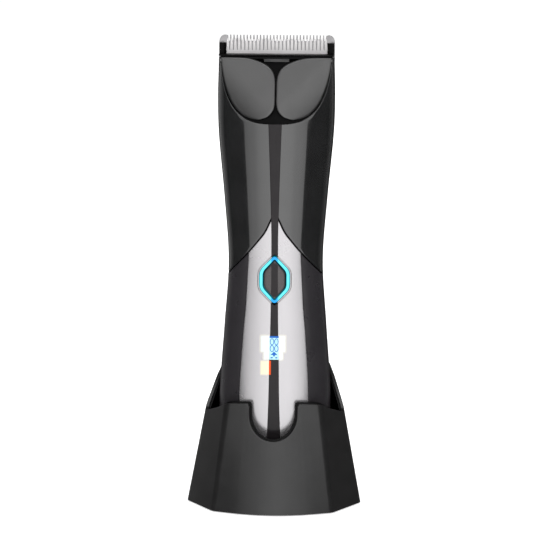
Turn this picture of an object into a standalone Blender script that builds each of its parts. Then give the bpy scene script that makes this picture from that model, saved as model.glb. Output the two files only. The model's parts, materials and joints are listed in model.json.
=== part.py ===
"""Body groomer standing in its charging dock.

Metres, +Z up, the front faces -Y, the origin is the middle of the footprint on the table.
Lengths in the tables below are millimetres and are scaled once, in add().
"""

import math

import bmesh
import bpy

MM = 0.001
GAP = 0.3

# Handpiece: its long axis stands HAND_Y behind the middle of the dock's footprint.
HAND_Y = 2.6
BOTTOM_Z = 17.0
SHELL_Z = 19.3
HEAD_Z = 165.6
WALL = 2.2
INLAY = 1.0

# (height, half width) and (height, depth in front of / behind the axis) of the handpiece.
HALF_WIDTH = (
    (17, 18.6), (23, 20.1), (40, 20.6), (66, 18.9), (90, 17.4), (114, 18.95), (138, 21.1),
    (152, 21.4), (166, 21.0),
)
FRONT_DEPTH = ((17, 13.6), (23, 15.0), (40, 15.5), (90, 13.2), (142, 15.6), (166, 16.0))
BACK_DEPTH = ((17, 13.6), (23, 15.0), (40, 15.5), (90, 14.0), (132, 13.8), (166, 6.9))
FRONT_POWER = 3.0
BACK_POWER = 2.6

# Front pattern: parting line between the covers, dark spine, edge of the silver panels.
PARTING = (
    (0, 109.8), (1.3, 107.3), (3.5, 102.6), (6.2, 99.0), (9.6, 94.9), (15.5, 88.4), (17.2, 86.1), (23, 80.0),
)
SPINE = ((19, 2.7), (40, 1.95), (55, 1.7), (70, 1.35), (99, 1.18), (114, 1.48), (129, 1.92), (143, 2.4))
PANEL = ((19, 12.6), (43, 12.7), (65, 11.4), (77, 10.4), (99, 9.4), (110, 9.4))

# Slanted face of the head, from its lower edge to its top edge.
FACE_LOW = (-15.5, 142.4)
FACE_HIGH = (-7.0, 165.6)

# Power button and the light ring round it: half width, half height, half height of the straight side.
BUTTON_Z = 84.8
HOLE_HEX = (5.95, 9.45, 3.55)
RING_HEX = (5.65, 9.1, 3.4)
RING_BORE = (4.25, 7.5, 2.95)
BUTTON_HEX = (3.95, 7.05, 2.8)
BUTTON_PROUD = 0.4

# Drive: the motor stands upright and an off-centre pin shakes the fork of the moving blade.
DRIVE_Y = -2.5
THROW = 0.7
PIN_RADIUS = 0.9

# Blades: FIXED_ROOT and MOVING_ROOT are the heights at which the gaps between the teeth end.
TIP_Z = 173.0
FIXED_ROOT = 170.8
MOVING_ROOT = 167.6
MOVING_TIP = 171.7
BLADE_SCREW = (13, 165)
FIXED_PITCH = 1.21
FIXED_TEETH = 29
MOVING_PITCH = 1.375
MOVING_TEETH = 27
TILT_Y = 7.0
TILT_Z = 162.2

# Dock: plan corners (x, y from the handpiece axis) at the table and at DOCK_TOP, with corner radii.
DOCK_LOW = ((0, -32.0), (21.9, -24.0), (32.2, -8.5), (28.5, 14.0), (15.0, 24.0))
DOCK_HIGH = ((0, -14.3), (14.8, -13.3), (20.9, 1.5), (17.5, 13.5), (11.5, 21.6))
DOCK_RADII = (400.0, 4.0, 4.0, 7.0, 8.0)
DOCK_FLOOR = 1.5
DOCK_SKIRT = 0.4
DOCK_TOP = 62.0
DOCK_WALL = 1.3
# Side view of each rim: (y, height).
RIM = (
    (-40, 39.9), (-18.5, 39.6), (-14, 37.8), (-8, 34.9), (-3, 34.4), (1.5, 40.3), (6, 44), (10, 46.7), (13, 49),
    (18, 51.5), (26, 52.5),
)
LINER_RIM = (
    (-40, 40.4), (-18.5, 40.1), (-14, 38.2), (-8, 35), (-3, 34), (1.5, 37), (6, 40), (13, 44.5),
    (18, 47), (26, 48),
)
CUTOUT_HALF = 8.9
CUTOUT_Z = 26.4
CONTACT_X = 5.0
BASE_SCREW = (15, 4)
FEET = (("front", 18, -15), ("back", 17, 13))

MATERIALS = {
    "dock_satin": ((0.045, 0.045, 0.048), 0.38, 0.0),
    "dock_black": ((0.012, 0.012, 0.013), 0.5, 0.0),
    "foot_rubber": ((0.02, 0.02, 0.02), 0.8, 0.0),
    "screw_steel": ((0.55, 0.55, 0.56), 0.35, 1.0),
    "contact_gold": ((0.83, 0.62, 0.28), 0.25, 1.0),
    "board_green": ((0.02, 0.12, 0.06), 0.5, 0.0),
    "gloss_graphite": ((0.03, 0.032, 0.034), 0.12, 0.0),
    "grip_dark": ((0.028, 0.028, 0.032), 0.35, 0.0),
    "silver_coat": ((0.5, 0.49, 0.51), 0.22, 0.9),
    "spine_gloss": ((0.03, 0.028, 0.03), 0.15, 0.0),
    "head_black": ((0.01, 0.01, 0.011), 0.2, 0.0),
    "head_grey": ((0.09, 0.09, 0.095), 0.18, 0.0),
    "ring_light": ((0.3, 0.9, 1.0), 0.3, 0.0),
    "button_grey": ((0.05, 0.05, 0.053), 0.3, 0.0),
    "inner_plastic": ((0.1, 0.1, 0.1), 0.5, 0.0),
    "cell_wrap": ((0.05, 0.2, 0.1), 0.4, 0.0),
    "motor_steel": ((0.5, 0.5, 0.5), 0.3, 1.0),
    "display_lens": ((0.5, 0.7, 0.9), 0.3, 0.0),
    "blade_steel": ((0.6, 0.6, 0.6), 0.25, 1.0),
    "blade_ceramic": ((0.8, 0.78, 0.74), 0.3, 0.0),
    "seal_rubber": ((0.03, 0.03, 0.03), 0.7, 0.0),
}


# ---------------------------------------------------------------- scene helpers


def clear_scene():
    for obj in list(bpy.data.objects):
        bpy.data.objects.remove(obj)


def make_collection(name):
    group = bpy.data.collections.new(name)
    bpy.context.scene.collection.children.link(group)
    return group


def make_materials():
    for name, (colour, rough, metal) in MATERIALS.items():
        material = bpy.data.materials.new(name)
        material.use_nodes = True
        shader = material.node_tree.nodes["Principled BSDF"]
        shader.inputs["Base Color"].default_value = (*colour, 1.0)
        shader.inputs["Roughness"].default_value = rough
        shader.inputs["Metallic"].default_value = metal
        material.diffuse_color = (*colour, 1.0)


def make_frame(name, x, y, z, parent=None):
    frame = bpy.data.objects.new(name, None)
    frame.empty_display_size = 0.01
    frame.location = (x * MM, y * MM, z * MM)
    frame.parent = parent
    PARTS.objects.link(frame)
    return frame


def add(name, verts, faces, frame, slot=None, pivot=(0, 0, 0)):
    """A closed mesh in one of the frames; without a slot it is a cutter."""
    mesh = bpy.data.meshes.new(name)
    mesh.from_pydata([[(p - q) * MM for p, q in zip(vert, pivot)] for vert in verts], [], faces)
    work = bmesh.new()
    work.from_mesh(mesh)
    bmesh.ops.recalc_face_normals(work, faces=work.faces)
    work.to_mesh(mesh)
    work.free()
    mesh.shade_smooth()
    mesh.set_sharp_from_angle(angle=math.radians(28))
    obj = bpy.data.objects.new(name, mesh)
    obj.location = [p * MM for p in pivot]
    obj.parent = frame
    if slot is None:
        obj.hide_render = True
        obj.display_type = "WIRE"
        CUTTERS.objects.link(obj)
    else:
        mesh.materials.append(bpy.data.materials[slot])
        PARTS.objects.link(obj)
    return obj


def boolean(obj, other, operation):
    step = obj.modifiers.new(operation.lower() + "_" + other.name, "BOOLEAN")
    step.operation = operation
    step.solver = "EXACT"
    step.object = other
    return obj


def cut(obj, other):
    return boolean(obj, other, "DIFFERENCE")


def keep(obj, other):
    return boolean(obj, other, "INTERSECT")


def join(obj, other):
    return boolean(obj, other, "UNION")


# ---------------------------------------------------------------- shape helpers


def along(stations, at):
    """Smooth curve through (position, value) stations."""
    if at <= stations[0][0]:
        return stations[0][1]
    if at >= stations[-1][0]:
        return stations[-1][1]
    i = 0
    while stations[i + 1][0] < at:
        i += 1

    def slope(k):
        low = stations[max(k - 1, 0)]
        high = stations[min(k + 1, len(stations) - 1)]
        return (high[1] - low[1]) / (high[0] - low[0])

    step = stations[i + 1][0] - stations[i][0]
    t = (at - stations[i][0]) / step
    start = (2 * t**3 - 3 * t**2 + 1) * stations[i][1] + (t**3 - 2 * t**2 + t) * slope(i) * step
    end = (3 * t**2 - 2 * t**3) * stations[i + 1][1] + (t**3 - t**2) * slope(i + 1) * step
    return start + end


def spread(low, high, count):
    return [low + (high - low) * i / (count - 1) for i in range(count)]


def body_point(angle, z, inset):
    """Point on the handpiece surface; angle 0 is the front, 180 the back."""
    half = along(HALF_WIDTH, z) - inset
    sine = math.sin(math.radians(angle))
    cosine = math.cos(math.radians(angle))
    front = cosine > 0
    depth = (along(FRONT_DEPTH, z) if front else along(BACK_DEPTH, z)) - inset
    x = half * math.copysign(abs(sine) ** (2 / FRONT_POWER), sine)
    y = -depth * math.copysign(abs(cosine) ** (2 / (FRONT_POWER if front else BACK_POWER)), cosine)
    return x, y, z


def skin(name, first, last, columns, levels, outer, inner, frame, slot=None):
    """Closed wall between two insets of the handpiece surface, over part of its girth."""
    verts = []
    middle = (first + last) / 2
    for inset in (outer, inner):
        for z in levels:
            for angle in spread(first, last, columns):
                x, y, height = body_point(angle, z, inset)
                y = min(y, -GAP / 2) if middle < 90 else max(y, GAP / 2)
                verts.append((x, y, height))
    rows = len(levels)

    def at(layer, j, i):
        return (layer * rows + j) * columns + i

    faces = []
    for j in range(rows - 1):
        for i in range(columns - 1):
            for layer in (0, 1):
                above = (at(layer, j + 1, i + 1), at(layer, j + 1, i))
                faces.append((at(layer, j, i), at(layer, j, i + 1), *above))
        for i in (0, columns - 1):
            faces.append((at(0, j, i), at(0, j + 1, i), at(1, j + 1, i), at(1, j, i)))
    for i in range(columns - 1):
        for j in (0, rows - 1):
            faces.append((at(0, j, i), at(0, j, i + 1), at(1, j, i + 1), at(1, j, i)))
    return add(name, verts, faces, frame, slot)


def loft(name, rings, frame, slot=None, pivot=(0, 0, 0)):
    """Closed solid through rings of equally many points."""
    count = len(rings[0])
    verts = [vert for ring in rings for vert in ring]
    faces = [tuple(range(count)), tuple(range(len(verts) - count, len(verts)))]
    for j in range(len(rings) - 1):
        for i in range(count):
            k = (i + 1) % count
            faces.append((j * count + i, j * count + k, (j + 1) * count + k, (j + 1) * count + i))
    return add(name, verts, faces, frame, slot, pivot)


def prism_y(name, outline, y_low, y_high, frame, slot=None, pivot=(0, 0, 0)):
    """Outline of (x, z) points swept along Y."""
    return loft(name, [[(x, y, z) for x, z in outline] for y in (y_low, y_high)], frame, slot, pivot)


def prism_x(name, outline, x_low, x_high, frame, slot=None, pivot=(0, 0, 0)):
    """Outline of (y, z) points swept along X."""
    return loft(name, [[(x, y, z) for y, z in outline] for x in (x_low, x_high)], frame, slot, pivot)


def prism_z(name, outline, z_low, z_high, frame, slot=None, pivot=(0, 0, 0)):
    """Outline of (x, y) points swept along Z."""
    return loft(name, [[(x, y, z) for x, y in outline] for z in (z_low, z_high)], frame, slot, pivot)


def box(name, x, y, z, frame, slot=None, pivot=(0, 0, 0)):
    outline = ((x[0], z[0]), (x[1], z[0]), (x[1], z[1]), (x[0], z[1]))
    return prism_y(name, outline, y[0], y[1], frame, slot, pivot)


def circle(x, y, radius, count):
    turns = [2 * math.pi * i / count for i in range(count)]
    return [(x + radius * math.cos(turn), y + radius * math.sin(turn)) for turn in turns]


def turned(name, x, y, profile, frame, slot=None, pivot=(0, 0, 0), count=24):
    """Solid of revolution about a vertical line; profile is (radius, z) from bottom to top."""
    rings = [[(px, py, z) for px, py in circle(x, y, radius, count)] for radius, z in profile]
    return loft(name, rings, frame, slot, pivot)


def peg_y(name, x, z, radius, y_low, y_high, frame, slot=None, count=20):
    return prism_y(name, circle(x, z, radius, count), y_low, y_high, frame, slot)


def mirror_outline(points):
    """Right-hand outline points, from the middle line round, completed with their mirror image."""
    left = [(-x, z) for x, z in reversed(points) if x > 0]
    return list(points) + left


def hexagon(sizes, z):
    half, height, side = sizes
    return mirror_outline([(0, z - height), (half, z - side), (half, z + side), (0, z + height)])


# ---------------------------------------------------------------- handpiece zones (seen from the front)


def face_y(z, depth=0.0):
    """Slanted face of the head, moved inwards by depth along its normal."""
    run = (FACE_HIGH[0] - FACE_LOW[0]) / (FACE_HIGH[1] - FACE_LOW[1])
    return FACE_LOW[0] + (z - FACE_LOW[1]) * run + depth * math.hypot(1, run)


def arc_half(z):
    """Half width of the line where the slanted face meets the rounded front."""
    share = min(abs(face_y(z)) / along(FRONT_DEPTH, z), 1.0)
    return along(HALF_WIDTH, z) * (1 - share**FRONT_POWER) ** (1 / FRONT_POWER)


def arc_outline(inset, top):
    """U-shaped outline of the head face."""
    base = FACE_LOW[1]
    levels = [base + 0.15 + (HEAD_Z - base - 0.15) * (i / 12) ** 2 for i in range(13)]
    points = [(0, base + inset)]
    for z in levels[1:]:
        points.append((arc_half(z) - inset, z + inset * (HEAD_Z - z) / (HEAD_Z - base)))
    points[-1] = (points[-1][0], top)
    return mirror_outline(points)


def below_parting(drop, half=24.0, floor=10.0):
    edge = [(x, along(PARTING, x) - drop) for x in (0, 1.3, 2.4, 3.5, 6.2, 9.6, 12.5, 15.5, 17.2, half)]
    return mirror_outline([(0, floor), (half, floor)] + edge[::-1][:-1] + [edge[0]])


def spine_outline(extra, low, high, steps=9):
    side = [(along(SPINE, z) + extra, z) for z in spread(low, high, steps)]
    return side + [(-x, z) for x, z in reversed(side)]


def panel_outline(side):
    """Silver panel beside the spine, notched round the light ring."""
    half, height, straight = HOLE_HEX
    inner = []
    for z in (SHELL_Z, 35, 52, 68, BUTTON_Z - height):
        inner.append((along(SPINE, z) + GAP, z))
    inner.append((along(SPINE, BUTTON_Z) + GAP, BUTTON_Z - height + 1.2))
    inner.append((half, BUTTON_Z - straight))
    inner.append((half, BUTTON_Z + straight))
    inner.append((along(SPINE, BUTTON_Z) + GAP, BUTTON_Z + height - 1.2))
    for z in (BUTTON_Z + height, 99):
        inner.append((along(SPINE, z) + GAP, z))
    top = [(x, along(PARTING, x) - GAP) for x in (along(SPINE, 104) + GAP, 2.4, 3.5, 6.2, 9.35)]
    outer = [(along(PANEL, z), z) for z in (85, 72, 58, 46, 32, SHELL_Z)]
    return [(side * x, z) for x, z in inner + top + outer]


# ---------------------------------------------------------------- handpiece


def upper_front_cover(hand):
    levels = [83 + (HEAD_Z - 83) * i / 15 for i in range(16)]
    cover = skin("upper_front_cover", -90, 90, 37, levels, 0, WALL, hand, "gloss_graphite")
    cut(cover, prism_y("lower_zone", below_parting(-GAP / 2), -30, 5, hand))
    slab = [(-40, 120), (-40, 190), (face_y(190, 2.5), 190), (face_y(120, 2.5), 120)]
    mouth = prism_y("head_mouth", arc_outline(0, 175), -30, 5, hand)
    cut(cover, keep(mouth, prism_x("head_slab", slab, -30, 30, hand)))
    groove = skin("upper_groove", -40, 40, 17, spread(92, 150, 9), -1.5, INLAY + GAP, hand)
    cut(cover, keep(groove, prism_y("upper_groove_zone", spine_outline(GAP, 90, 155), -30, 5, hand)))
    return cover


def lower_front_shell(hand):
    levels = [SHELL_Z, 21, 25, 32, 40, 48, 56, 64, 72, 80, 88, 96, 104, 110]
    shell = skin("lower_front_shell", -90, 90, 37, levels, 0, WALL + 0.3, hand, "grip_dark")
    keep(shell, prism_y("lower_keep", below_parting(GAP / 2), -30, 5, hand))
    groove = skin("lower_groove", -75, 75, 31, [15] + levels[1:-1] + [112], -1.5, INLAY + GAP, hand)
    side = [(along(PANEL, z) + GAP, z) for z in (112, 99, 85, 72, 58, 46, 32, 17)]
    zone = prism_y("lower_groove_zone", side + [(-x, z) for x, z in reversed(side)], -30, 5, hand)
    cut(shell, keep(groove, zone))
    cut(shell, prism_y("button_hole", hexagon(HOLE_HEX, BUTTON_Z), -30, -5, hand))
    cut(shell, box("display_hole", (-5.3, 5.3), (-30, -5), (47.6, 66.4), hand))
    return shell


def silver_panels(hand):
    levels = [18, 21, 25, 32, 40, 48, 56, 64, 72, 80, 88, 96, 104, 110]
    for name, side in (("silver_panel_left", -1), ("silver_panel_right", 1)):
        panel = skin(name, -78, 78, 39, levels, 0, INLAY, hand, "silver_coat")
        keep(panel, prism_y(name + "_zone", panel_outline(side), -30, 5, hand))


def spine_strips(hand):
    upper = skin("spine_upper", -35, 35, 15, spread(100, 146, 10), 0, INLAY, hand, "spine_gloss")
    zone = spine_outline(0, along(PARTING, 0) - 0.4, FACE_LOW[1] - 0.4)
    keep(upper, prism_y("spine_upper_zone", zone, -30, 5, hand))
    lower = skin("spine_lower", -40, 40, 15, spread(18, 80, 12), 0, INLAY, hand, "spine_gloss")
    top = BUTTON_Z - HOLE_HEX[1] - 0.2
    keep(lower, prism_y("spine_lower_zone", spine_outline(0, SHELL_Z, top), -30, 5, hand))
    middle = skin("spine_middle", -35, 35, 15, spread(90, 112, 5), 0, INLAY, hand, "spine_gloss")
    low = BUTTON_Z + HOLE_HEX[1] + 0.2
    keep(middle, prism_y("spine_middle_zone", spine_outline(0, low, along(PARTING, 0) - 1.2), -30, 5, hand))


def head_face(hand):
    """Black mask behind the two grey plates, all parallel to the slanted face."""

    def slab(name, outer, inner):
        low, high = FACE_LOW[1] - 8, 172
        outline = [(face_y(low, outer), low), (face_y(high, outer), high)]
        outline += [(face_y(high, inner), high), (face_y(low, inner), low)]
        return prism_x(name, outline, -26, 26, hand)

    mask = prism_y("head_mask", arc_outline(GAP, HEAD_Z), -30, 5, hand, "head_black")
    keep(mask, slab("mask_slab", 0.9, 2.2))
    sides = (("head_plate_left", -1), ("head_plate_right", 1))
    for name, side in sides:
        inner = [(0.33, 149.5), (0.33, 158.5), (0.9, 160.6), (2.3, 162.3), (4.6, 163.8)]
        inner += [(8.0, 164.8), (10.8, HEAD_Z)]
        lower = [(0.6, 147.6), (1.4, 146.0), (2.6, 144.9), (4.6, 144.2), (6.4, 143.9)]
        levels = [144.3, 145.2, 146.6, 148.6, 151.5, 155, 160, HEAD_Z]
        outer = [(arc_half(z) - 0.35, z) for z in levels]
        outline = inner + outer[::-1] + lower[::-1]
        plate = prism_y(name, [(side * x, z) for x, z in outline], -30, 5, hand, "head_grey")
        keep(plate, slab(name + "_slab", 0, 0.6))


def rear_shell(hand):
    levels = [SHELL_Z, 21, 25, 32, 40, 56, 72, 88, 104, 118, 128, 134, 140, 148, 156, HEAD_Z]
    shell = skin("rear_shell", 90, 270, 31, levels, 0, WALL, hand, "grip_dark")
    cut(shell, box("cassette_notch", (-18.9, 18.9), (1.2, 30), (TILT_Z, 180), hand))
    for side in (-1, 1):
        cut(shell, box("knuckle_notch", sorted((side * 7.6, side * 11.4)), (5.2, 12), (160.6, 170), hand))


def bottom_cap(hand):
    angles = spread(0, 360 - 7.5, 48)
    steps = ((BOTTOM_Z, 1.4), (BOTTOM_Z + 0.5, 0.5), (BOTTOM_Z + 1.3, 0.05), (SHELL_Z - GAP, 0))
    rings = [[body_point(angle, z, inset) for angle in angles] for z, inset in steps]
    cap = loft("bottom_cap", rings, hand, "grip_dark")
    for side, name in ((-1, "left"), (1, "right")):
        cut(cap, turned("contact_hole_" + name, side * CONTACT_X, 0, ((2.3, 10), (2.3, 30)), hand))
        pad = ((2.0, BOTTOM_Z + 0.8), (2.0, 21.5))
        turned("contact_" + name, side * CONTACT_X, 0, pad, hand, "contact_gold")


def light_ring(hand):
    ring = skin("light_ring", -60, 60, 25, spread(72, 98, 9), 0, 3.4, hand, "ring_light")
    keep(ring, prism_y("ring_zone", hexagon(RING_HEX, BUTTON_Z), -30, -5, hand))
    cut(ring, prism_y("ring_bore", hexagon(RING_BORE, BUTTON_Z), -30, -5, hand))


def power_button(button_frame):
    """The button rides in its own frame, at the middle of its face."""
    origin = (0, -along(FRONT_DEPTH, BUTTON_Z), BUTTON_Z)

    def slice_of(name, outer, inner, zone, slot=None):
        piece = skin(name, -60, 60, 25, spread(74, 96, 8), outer, inner, button_frame, slot)
        keep(piece, prism_y(name + "_zone", zone, -30, -5, button_frame))
        for item in (piece, bpy.data.objects[name + "_zone"]):
            item.location = [-p * MM for p in origin]
        return piece

    low, high = BUTTON_Z - BUTTON_HEX[1] - 1, BUTTON_Z + BUTTON_HEX[1] + 1
    button = slice_of("power_button", -BUTTON_PROUD, WALL, hexagon(BUTTON_HEX, BUTTON_Z), "button_grey")
    cut(button, slice_of("button_groove", -2, 0.4, spine_outline(0.2, low, high, 4)))
    low, high = BUTTON_Z - BUTTON_HEX[1] + 1.4, BUTTON_Z + BUTTON_HEX[1] - 1.4
    slice_of("button_strip", -BUTTON_PROUD, 0.15, spine_outline(0, low, high, 4), "spine_gloss")


def electronics(hand):
    plate = box("chassis", (-12, 12), (-6.6, -5.2), (22, 105), hand, "inner_plastic")
    for side in (-1, 1):
        cut(plate, box("chassis_window", sorted((side * 3, side * 9)), (-8, -4), (30, 70), hand))
        join(plate, box("chassis_rib", sorted((side * 10.8, side * 12.0)), (-6.0, 2.0), (24, 100), hand))
    box("main_board", (-9, 9), (-8.5, -6.9), (38, 100), hand, "board_green")
    box("display_module", (-5, 5), (-12.1, -8.8), (48, 66), hand, "display_lens")
    box("tact_switch", (-3, 3), (-10.2, -8.8), (BUTTON_Z - 3, BUTTON_Z + 3), hand, "inner_plastic")
    profile = ((6.4, 27), (7.2, 27.8), (7.2, 76), (6.6, 76.8), (2.6, 76.8), (2.6, 77.8))
    turned("battery_cell", 0, 3.2, profile, hand, "cell_wrap")


def drive(hand, rotor):
    outer = ((8.2, 110.1), (9.0, 110.9), (9.0, 138.2), (8.6, 138.6), (3.2, 138.6), (3.2, 139.2))
    can = turned("motor_can", 0, DRIVE_Y, outer, hand, "motor_steel")
    cut(can, turned("motor_bore", 0, DRIVE_Y, ((6.6, 111.6), (6.6, 136.6), (1.3, 136.6), (1.3, 150)), hand))
    armature = ((1.0, 112.3), (5.8, 112.3), (5.8, 134.8), (1.0, 134.8), (1.0, 147.2))
    turned("motor_rotor", 0, 0, armature, rotor, "motor_steel")
    hub = ((3.6, 143.4), (4.2, 144.0), (4.2, 148.6), (3.6, 149.2))
    cam = turned("eccentric_cam", 0, 0, hub, rotor, "inner_plastic")
    pin = ((PIN_RADIUS, 148), (PIN_RADIUS, 161), (0.5, 161.4))
    join(cam, turned("cam_pin", THROW, 0, pin, rotor, count=16))
    cut(cam, turned("cam_bore", 0, 0, ((1.3, 140), (1.3, 147.5)), rotor))
    angles = spread(0, 360 - 7.5, 48)
    rings = [[body_point(angle, z, WALL + 0.6) for angle in angles] for z in (139.8, 141.6)]
    bulkhead = loft("drive_bulkhead", rings, hand, "inner_plastic")
    cut(bulkhead, turned("bulkhead_hole", 0, DRIVE_Y, ((2.9, 130), (2.9, 150)), hand))
    seal = turned("shaft_seal", 0, DRIVE_Y, ((2.6, 139.7), (2.6, 141.9), (1.9, 142.6)), hand, "seal_rubber")
    cut(seal, turned("seal_bore", 0, DRIVE_Y, ((1.3, 130), (1.3, 150)), hand))


# ---------------------------------------------------------------- blade cassette


def comb_outline(half, foot, low, step, root, tip, pitch, teeth, guard):
    """Plate with a row of tapered teeth along its top; it is foot wide up to step, then half wide.

    guard adds a rounded wide tooth at each end.
    """
    points = [(-half, step), (-foot, step), (-foot, low), (foot, low), (foot, step), (half, step)]
    if guard:
        reach = pitch * teeth / 2 + 0.5
        points += [(half, tip - 2.4), (half - 0.6, tip - 0.9), (half - 1.7, tip - 0.1)]
        points += [(reach + 0.6, tip), (reach, tip - 0.7), (reach, root)]
    else:
        points += [(half, root)]
    for i in range(teeth - 1, -1, -1):
        middle = (i - (teeth - 1) / 2) * pitch
        points += [(middle + 0.26 * pitch, root), (middle + 0.15 * pitch, tip)]
        points += [(middle - 0.15 * pitch, tip), (middle - 0.26 * pitch, root)]
    if guard:
        points += [(-reach, root), (-reach, tip - 0.7), (-reach - 0.6, tip)]
        points += [(-half + 1.7, tip - 0.1), (-half + 0.6, tip - 0.9), (-half, tip - 2.4)]
    else:
        points += [(-half, root)]
    return points


def blade_cassette(tilt):
    """Frame, fixed blade and spring; all given from the handpiece axis, then moved to the tilt axis."""
    pivot_frame = make_frame("cassette_zero", 0, -TILT_Y, -TILT_Z, tilt)
    back = [(1.5, 162.5), (6.7, 162.5), (6.85, 165.2), (4.2, 169.0), (1.5, 169.8)]
    frame = prism_x("cassette_frame", back, -18.6, 18.6, pivot_frame, "head_black")
    upper = [(1.5, 165.9), (6.5, 165.9), (4.2, 169.0), (1.5, 169.8)]
    join(frame, prism_x("frame_upper", upper, -20.9, 20.9, pivot_frame))
    join(frame, box("frame_lip", (-20.9, 20.9), (-6.1, -1.4), (165.9, 166.4), pivot_frame))
    screw_x, screw_z = BLADE_SCREW
    for side in (-1, 1):
        width = sorted((side * 19.3, side * 20.9))
        join(frame, box("frame_arm", width, (-2.4, -0.1), (165.9, 170.3), pivot_frame))
        join(frame, box("frame_root", width, (-1.0, 2.4), (165.9, 167.4), pivot_frame))
        knuckle = [(TILT_Y + y, TILT_Z + z) for y, z in circle(0, 0, 1.0, 12)]
        join(frame, prism_x("frame_knuckle", knuckle, *sorted((side * 8.0, side * 11.0)), pivot_frame))
        cut(frame, peg_y("screw_hole", side * screw_x, screw_z, 1.1, 0, 9, pivot_frame))
        cut(frame, peg_y("screw_seat", side * screw_x, screw_z, 2.3, 4.9, 9, pivot_frame))
    for side, name in ((-1, "left"), (1, "right")):
        x = side * screw_x
        screw = peg_y("blade_screw_" + name, x, screw_z, 0.8, 1.6, 6.0, pivot_frame, "screw_steel")
        join(screw, peg_y("screw_head", x, screw_z, 2.0, 5.2, 6.3, pivot_frame))
    outline = comb_outline(21.1, 18.2, 163.4, 167.7, FIXED_ROOT, TIP_Z, FIXED_PITCH, FIXED_TEETH, True)
    prism_y("fixed_blade", outline, 0.2, 1.2, pivot_frame, "blade_steel")
    spring = box("blade_spring", (-14, 14), (1.8, 4.2), (161.7, 162.1), pivot_frame, "blade_steel")
    for side in (-1, 1):
        leg = [(2.4, 161.7), (2.4, 162.1), (-1.5, 162.1), (-1.5, 164.3), (-1.9, 164.3), (-1.9, 161.7)]
        join(spring, prism_x("spring_leg", leg, *sorted((side * 7, side * 13)), pivot_frame))
    return pivot_frame


def cutter(frame):
    widths = (18.3, 17.5, 162.6, 166.6)
    outline = comb_outline(*widths, MOVING_ROOT, MOVING_TIP, MOVING_PITCH, MOVING_TEETH, False)
    prism_y("moving_blade", outline, -1.1, -0.1, frame, "blade_ceramic")
    fork = box("drive_fork", (-4.6, 4.6), (-4.0, -1.4), (162.6, 165.0), frame, "inner_plastic")
    for side in (-1, 1):
        join(fork, box("fork_prong", sorted((side * 2.6, side * 3.8)), (-4.0, -1.4), (159.6, 163.0), frame))


# ---------------------------------------------------------------- dock


def dock_plan(z, inset):
    """Rounded five-sided-per-half plan of the dock at a height, moved inwards by inset."""
    t = (z - DOCK_FLOOR) / (DOCK_TOP - DOCK_FLOOR)
    right = [(a[0] + (b[0] - a[0]) * t, a[1] + (b[1] - a[1]) * t) for a, b in zip(DOCK_LOW, DOCK_HIGH)]
    corners = right + [(-x, y) for x, y in reversed(right[1:])]
    radii = list(DOCK_RADII) + list(reversed(DOCK_RADII[1:]))
    count = len(corners)
    moved = []
    for i, (x, y) in enumerate(corners):
        before, after = corners[i - 1], corners[(i + 1) % count]
        first = unit(x - before[0], y - before[1])
        second = unit(after[0] - x, after[1] - y)
        bend = unit(-first[1] - second[1], first[0] + second[0])
        grow = inset / max(bend[0] * -first[1] + bend[1] * first[0], 0.3)
        moved.append((x + bend[0] * grow, y + bend[1] * grow))
    points = []
    for i, (x, y) in enumerate(moved):
        points += rounded(moved[i - 1], (x, y), moved[(i + 1) % count], radii[i])
    return points


def unit(x, y):
    length = math.hypot(x, y)
    return x / length, y / length


def rounded(before, corner, after, radius, steps=4):
    """A corner as points of an arc; only the wide front curve may use most of its sides."""
    back = unit(before[0] - corner[0], before[1] - corner[1])
    ahead = unit(after[0] - corner[0], after[1] - corner[1])
    turn = math.acos(max(-1, min(1, back[0] * ahead[0] + back[1] * ahead[1])))
    shorter = min(math.dist(before, corner), math.dist(corner, after))
    reach = min(radius / math.tan(turn / 2), (0.7 if radius > 100 else 0.4) * shorter)
    points = []
    for i in range(steps + 1):
        t = i / steps
        weights = ((1 - t) ** 2 * reach, t**2 * reach)
        points.append((
            corner[0] + back[0] * weights[0] + ahead[0] * weights[1],
            corner[1] + back[1] * weights[0] + ahead[1] * weights[1],
        ))
    return points


def dock_solid(name, inset, low, high, frame, slot=None, steps=6):
    rings = [[(x, y, z) for x, y in dock_plan(z, inset)] for z in spread(low, high, steps)]
    return loft(name, rings, frame, slot)


def above_rim(name, rim, frame):
    outline = list(rim) + [(40, rim[-1][1]), (40, 90), (-45, 90), (-45, rim[0][1])]
    return prism_x(name, outline, -50, 50, frame)


def cutout(name, half, low, frame):
    """Rounded notch in the front wall."""
    points = []
    for turn in (8, 25, 42, 60, 76, 90):
        angle = math.radians(turn)
        points.append((half * math.sin(angle), low + 9.5 * (1 - math.cos(angle))))
    points.append((half + 0.3, 46))
    return prism_y(name, mirror_outline(points + [(half + 0.3, 66)]), -40, -6, frame)


def dock_housing(dock):
    hull = dock_solid("dock_housing", 0, DOCK_SKIRT, DOCK_TOP, dock, "dock_satin", 7)
    cut(hull, above_rim("hull_rim", RIM, dock))
    cut(hull, cutout("hull_cutout", CUTOUT_HALF, CUTOUT_Z, dock)).modifiers[-1].solver = "MANIFOLD"
    cut(hull, dock_solid("hull_inside", DOCK_WALL, DOCK_FLOOR - 3, DOCK_TOP + 4, dock, steps=7))
    cut(hull, box("inlet_hole", (-5.6, 5.6), (18, 30), (5.7, 13.3), dock))


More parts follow.
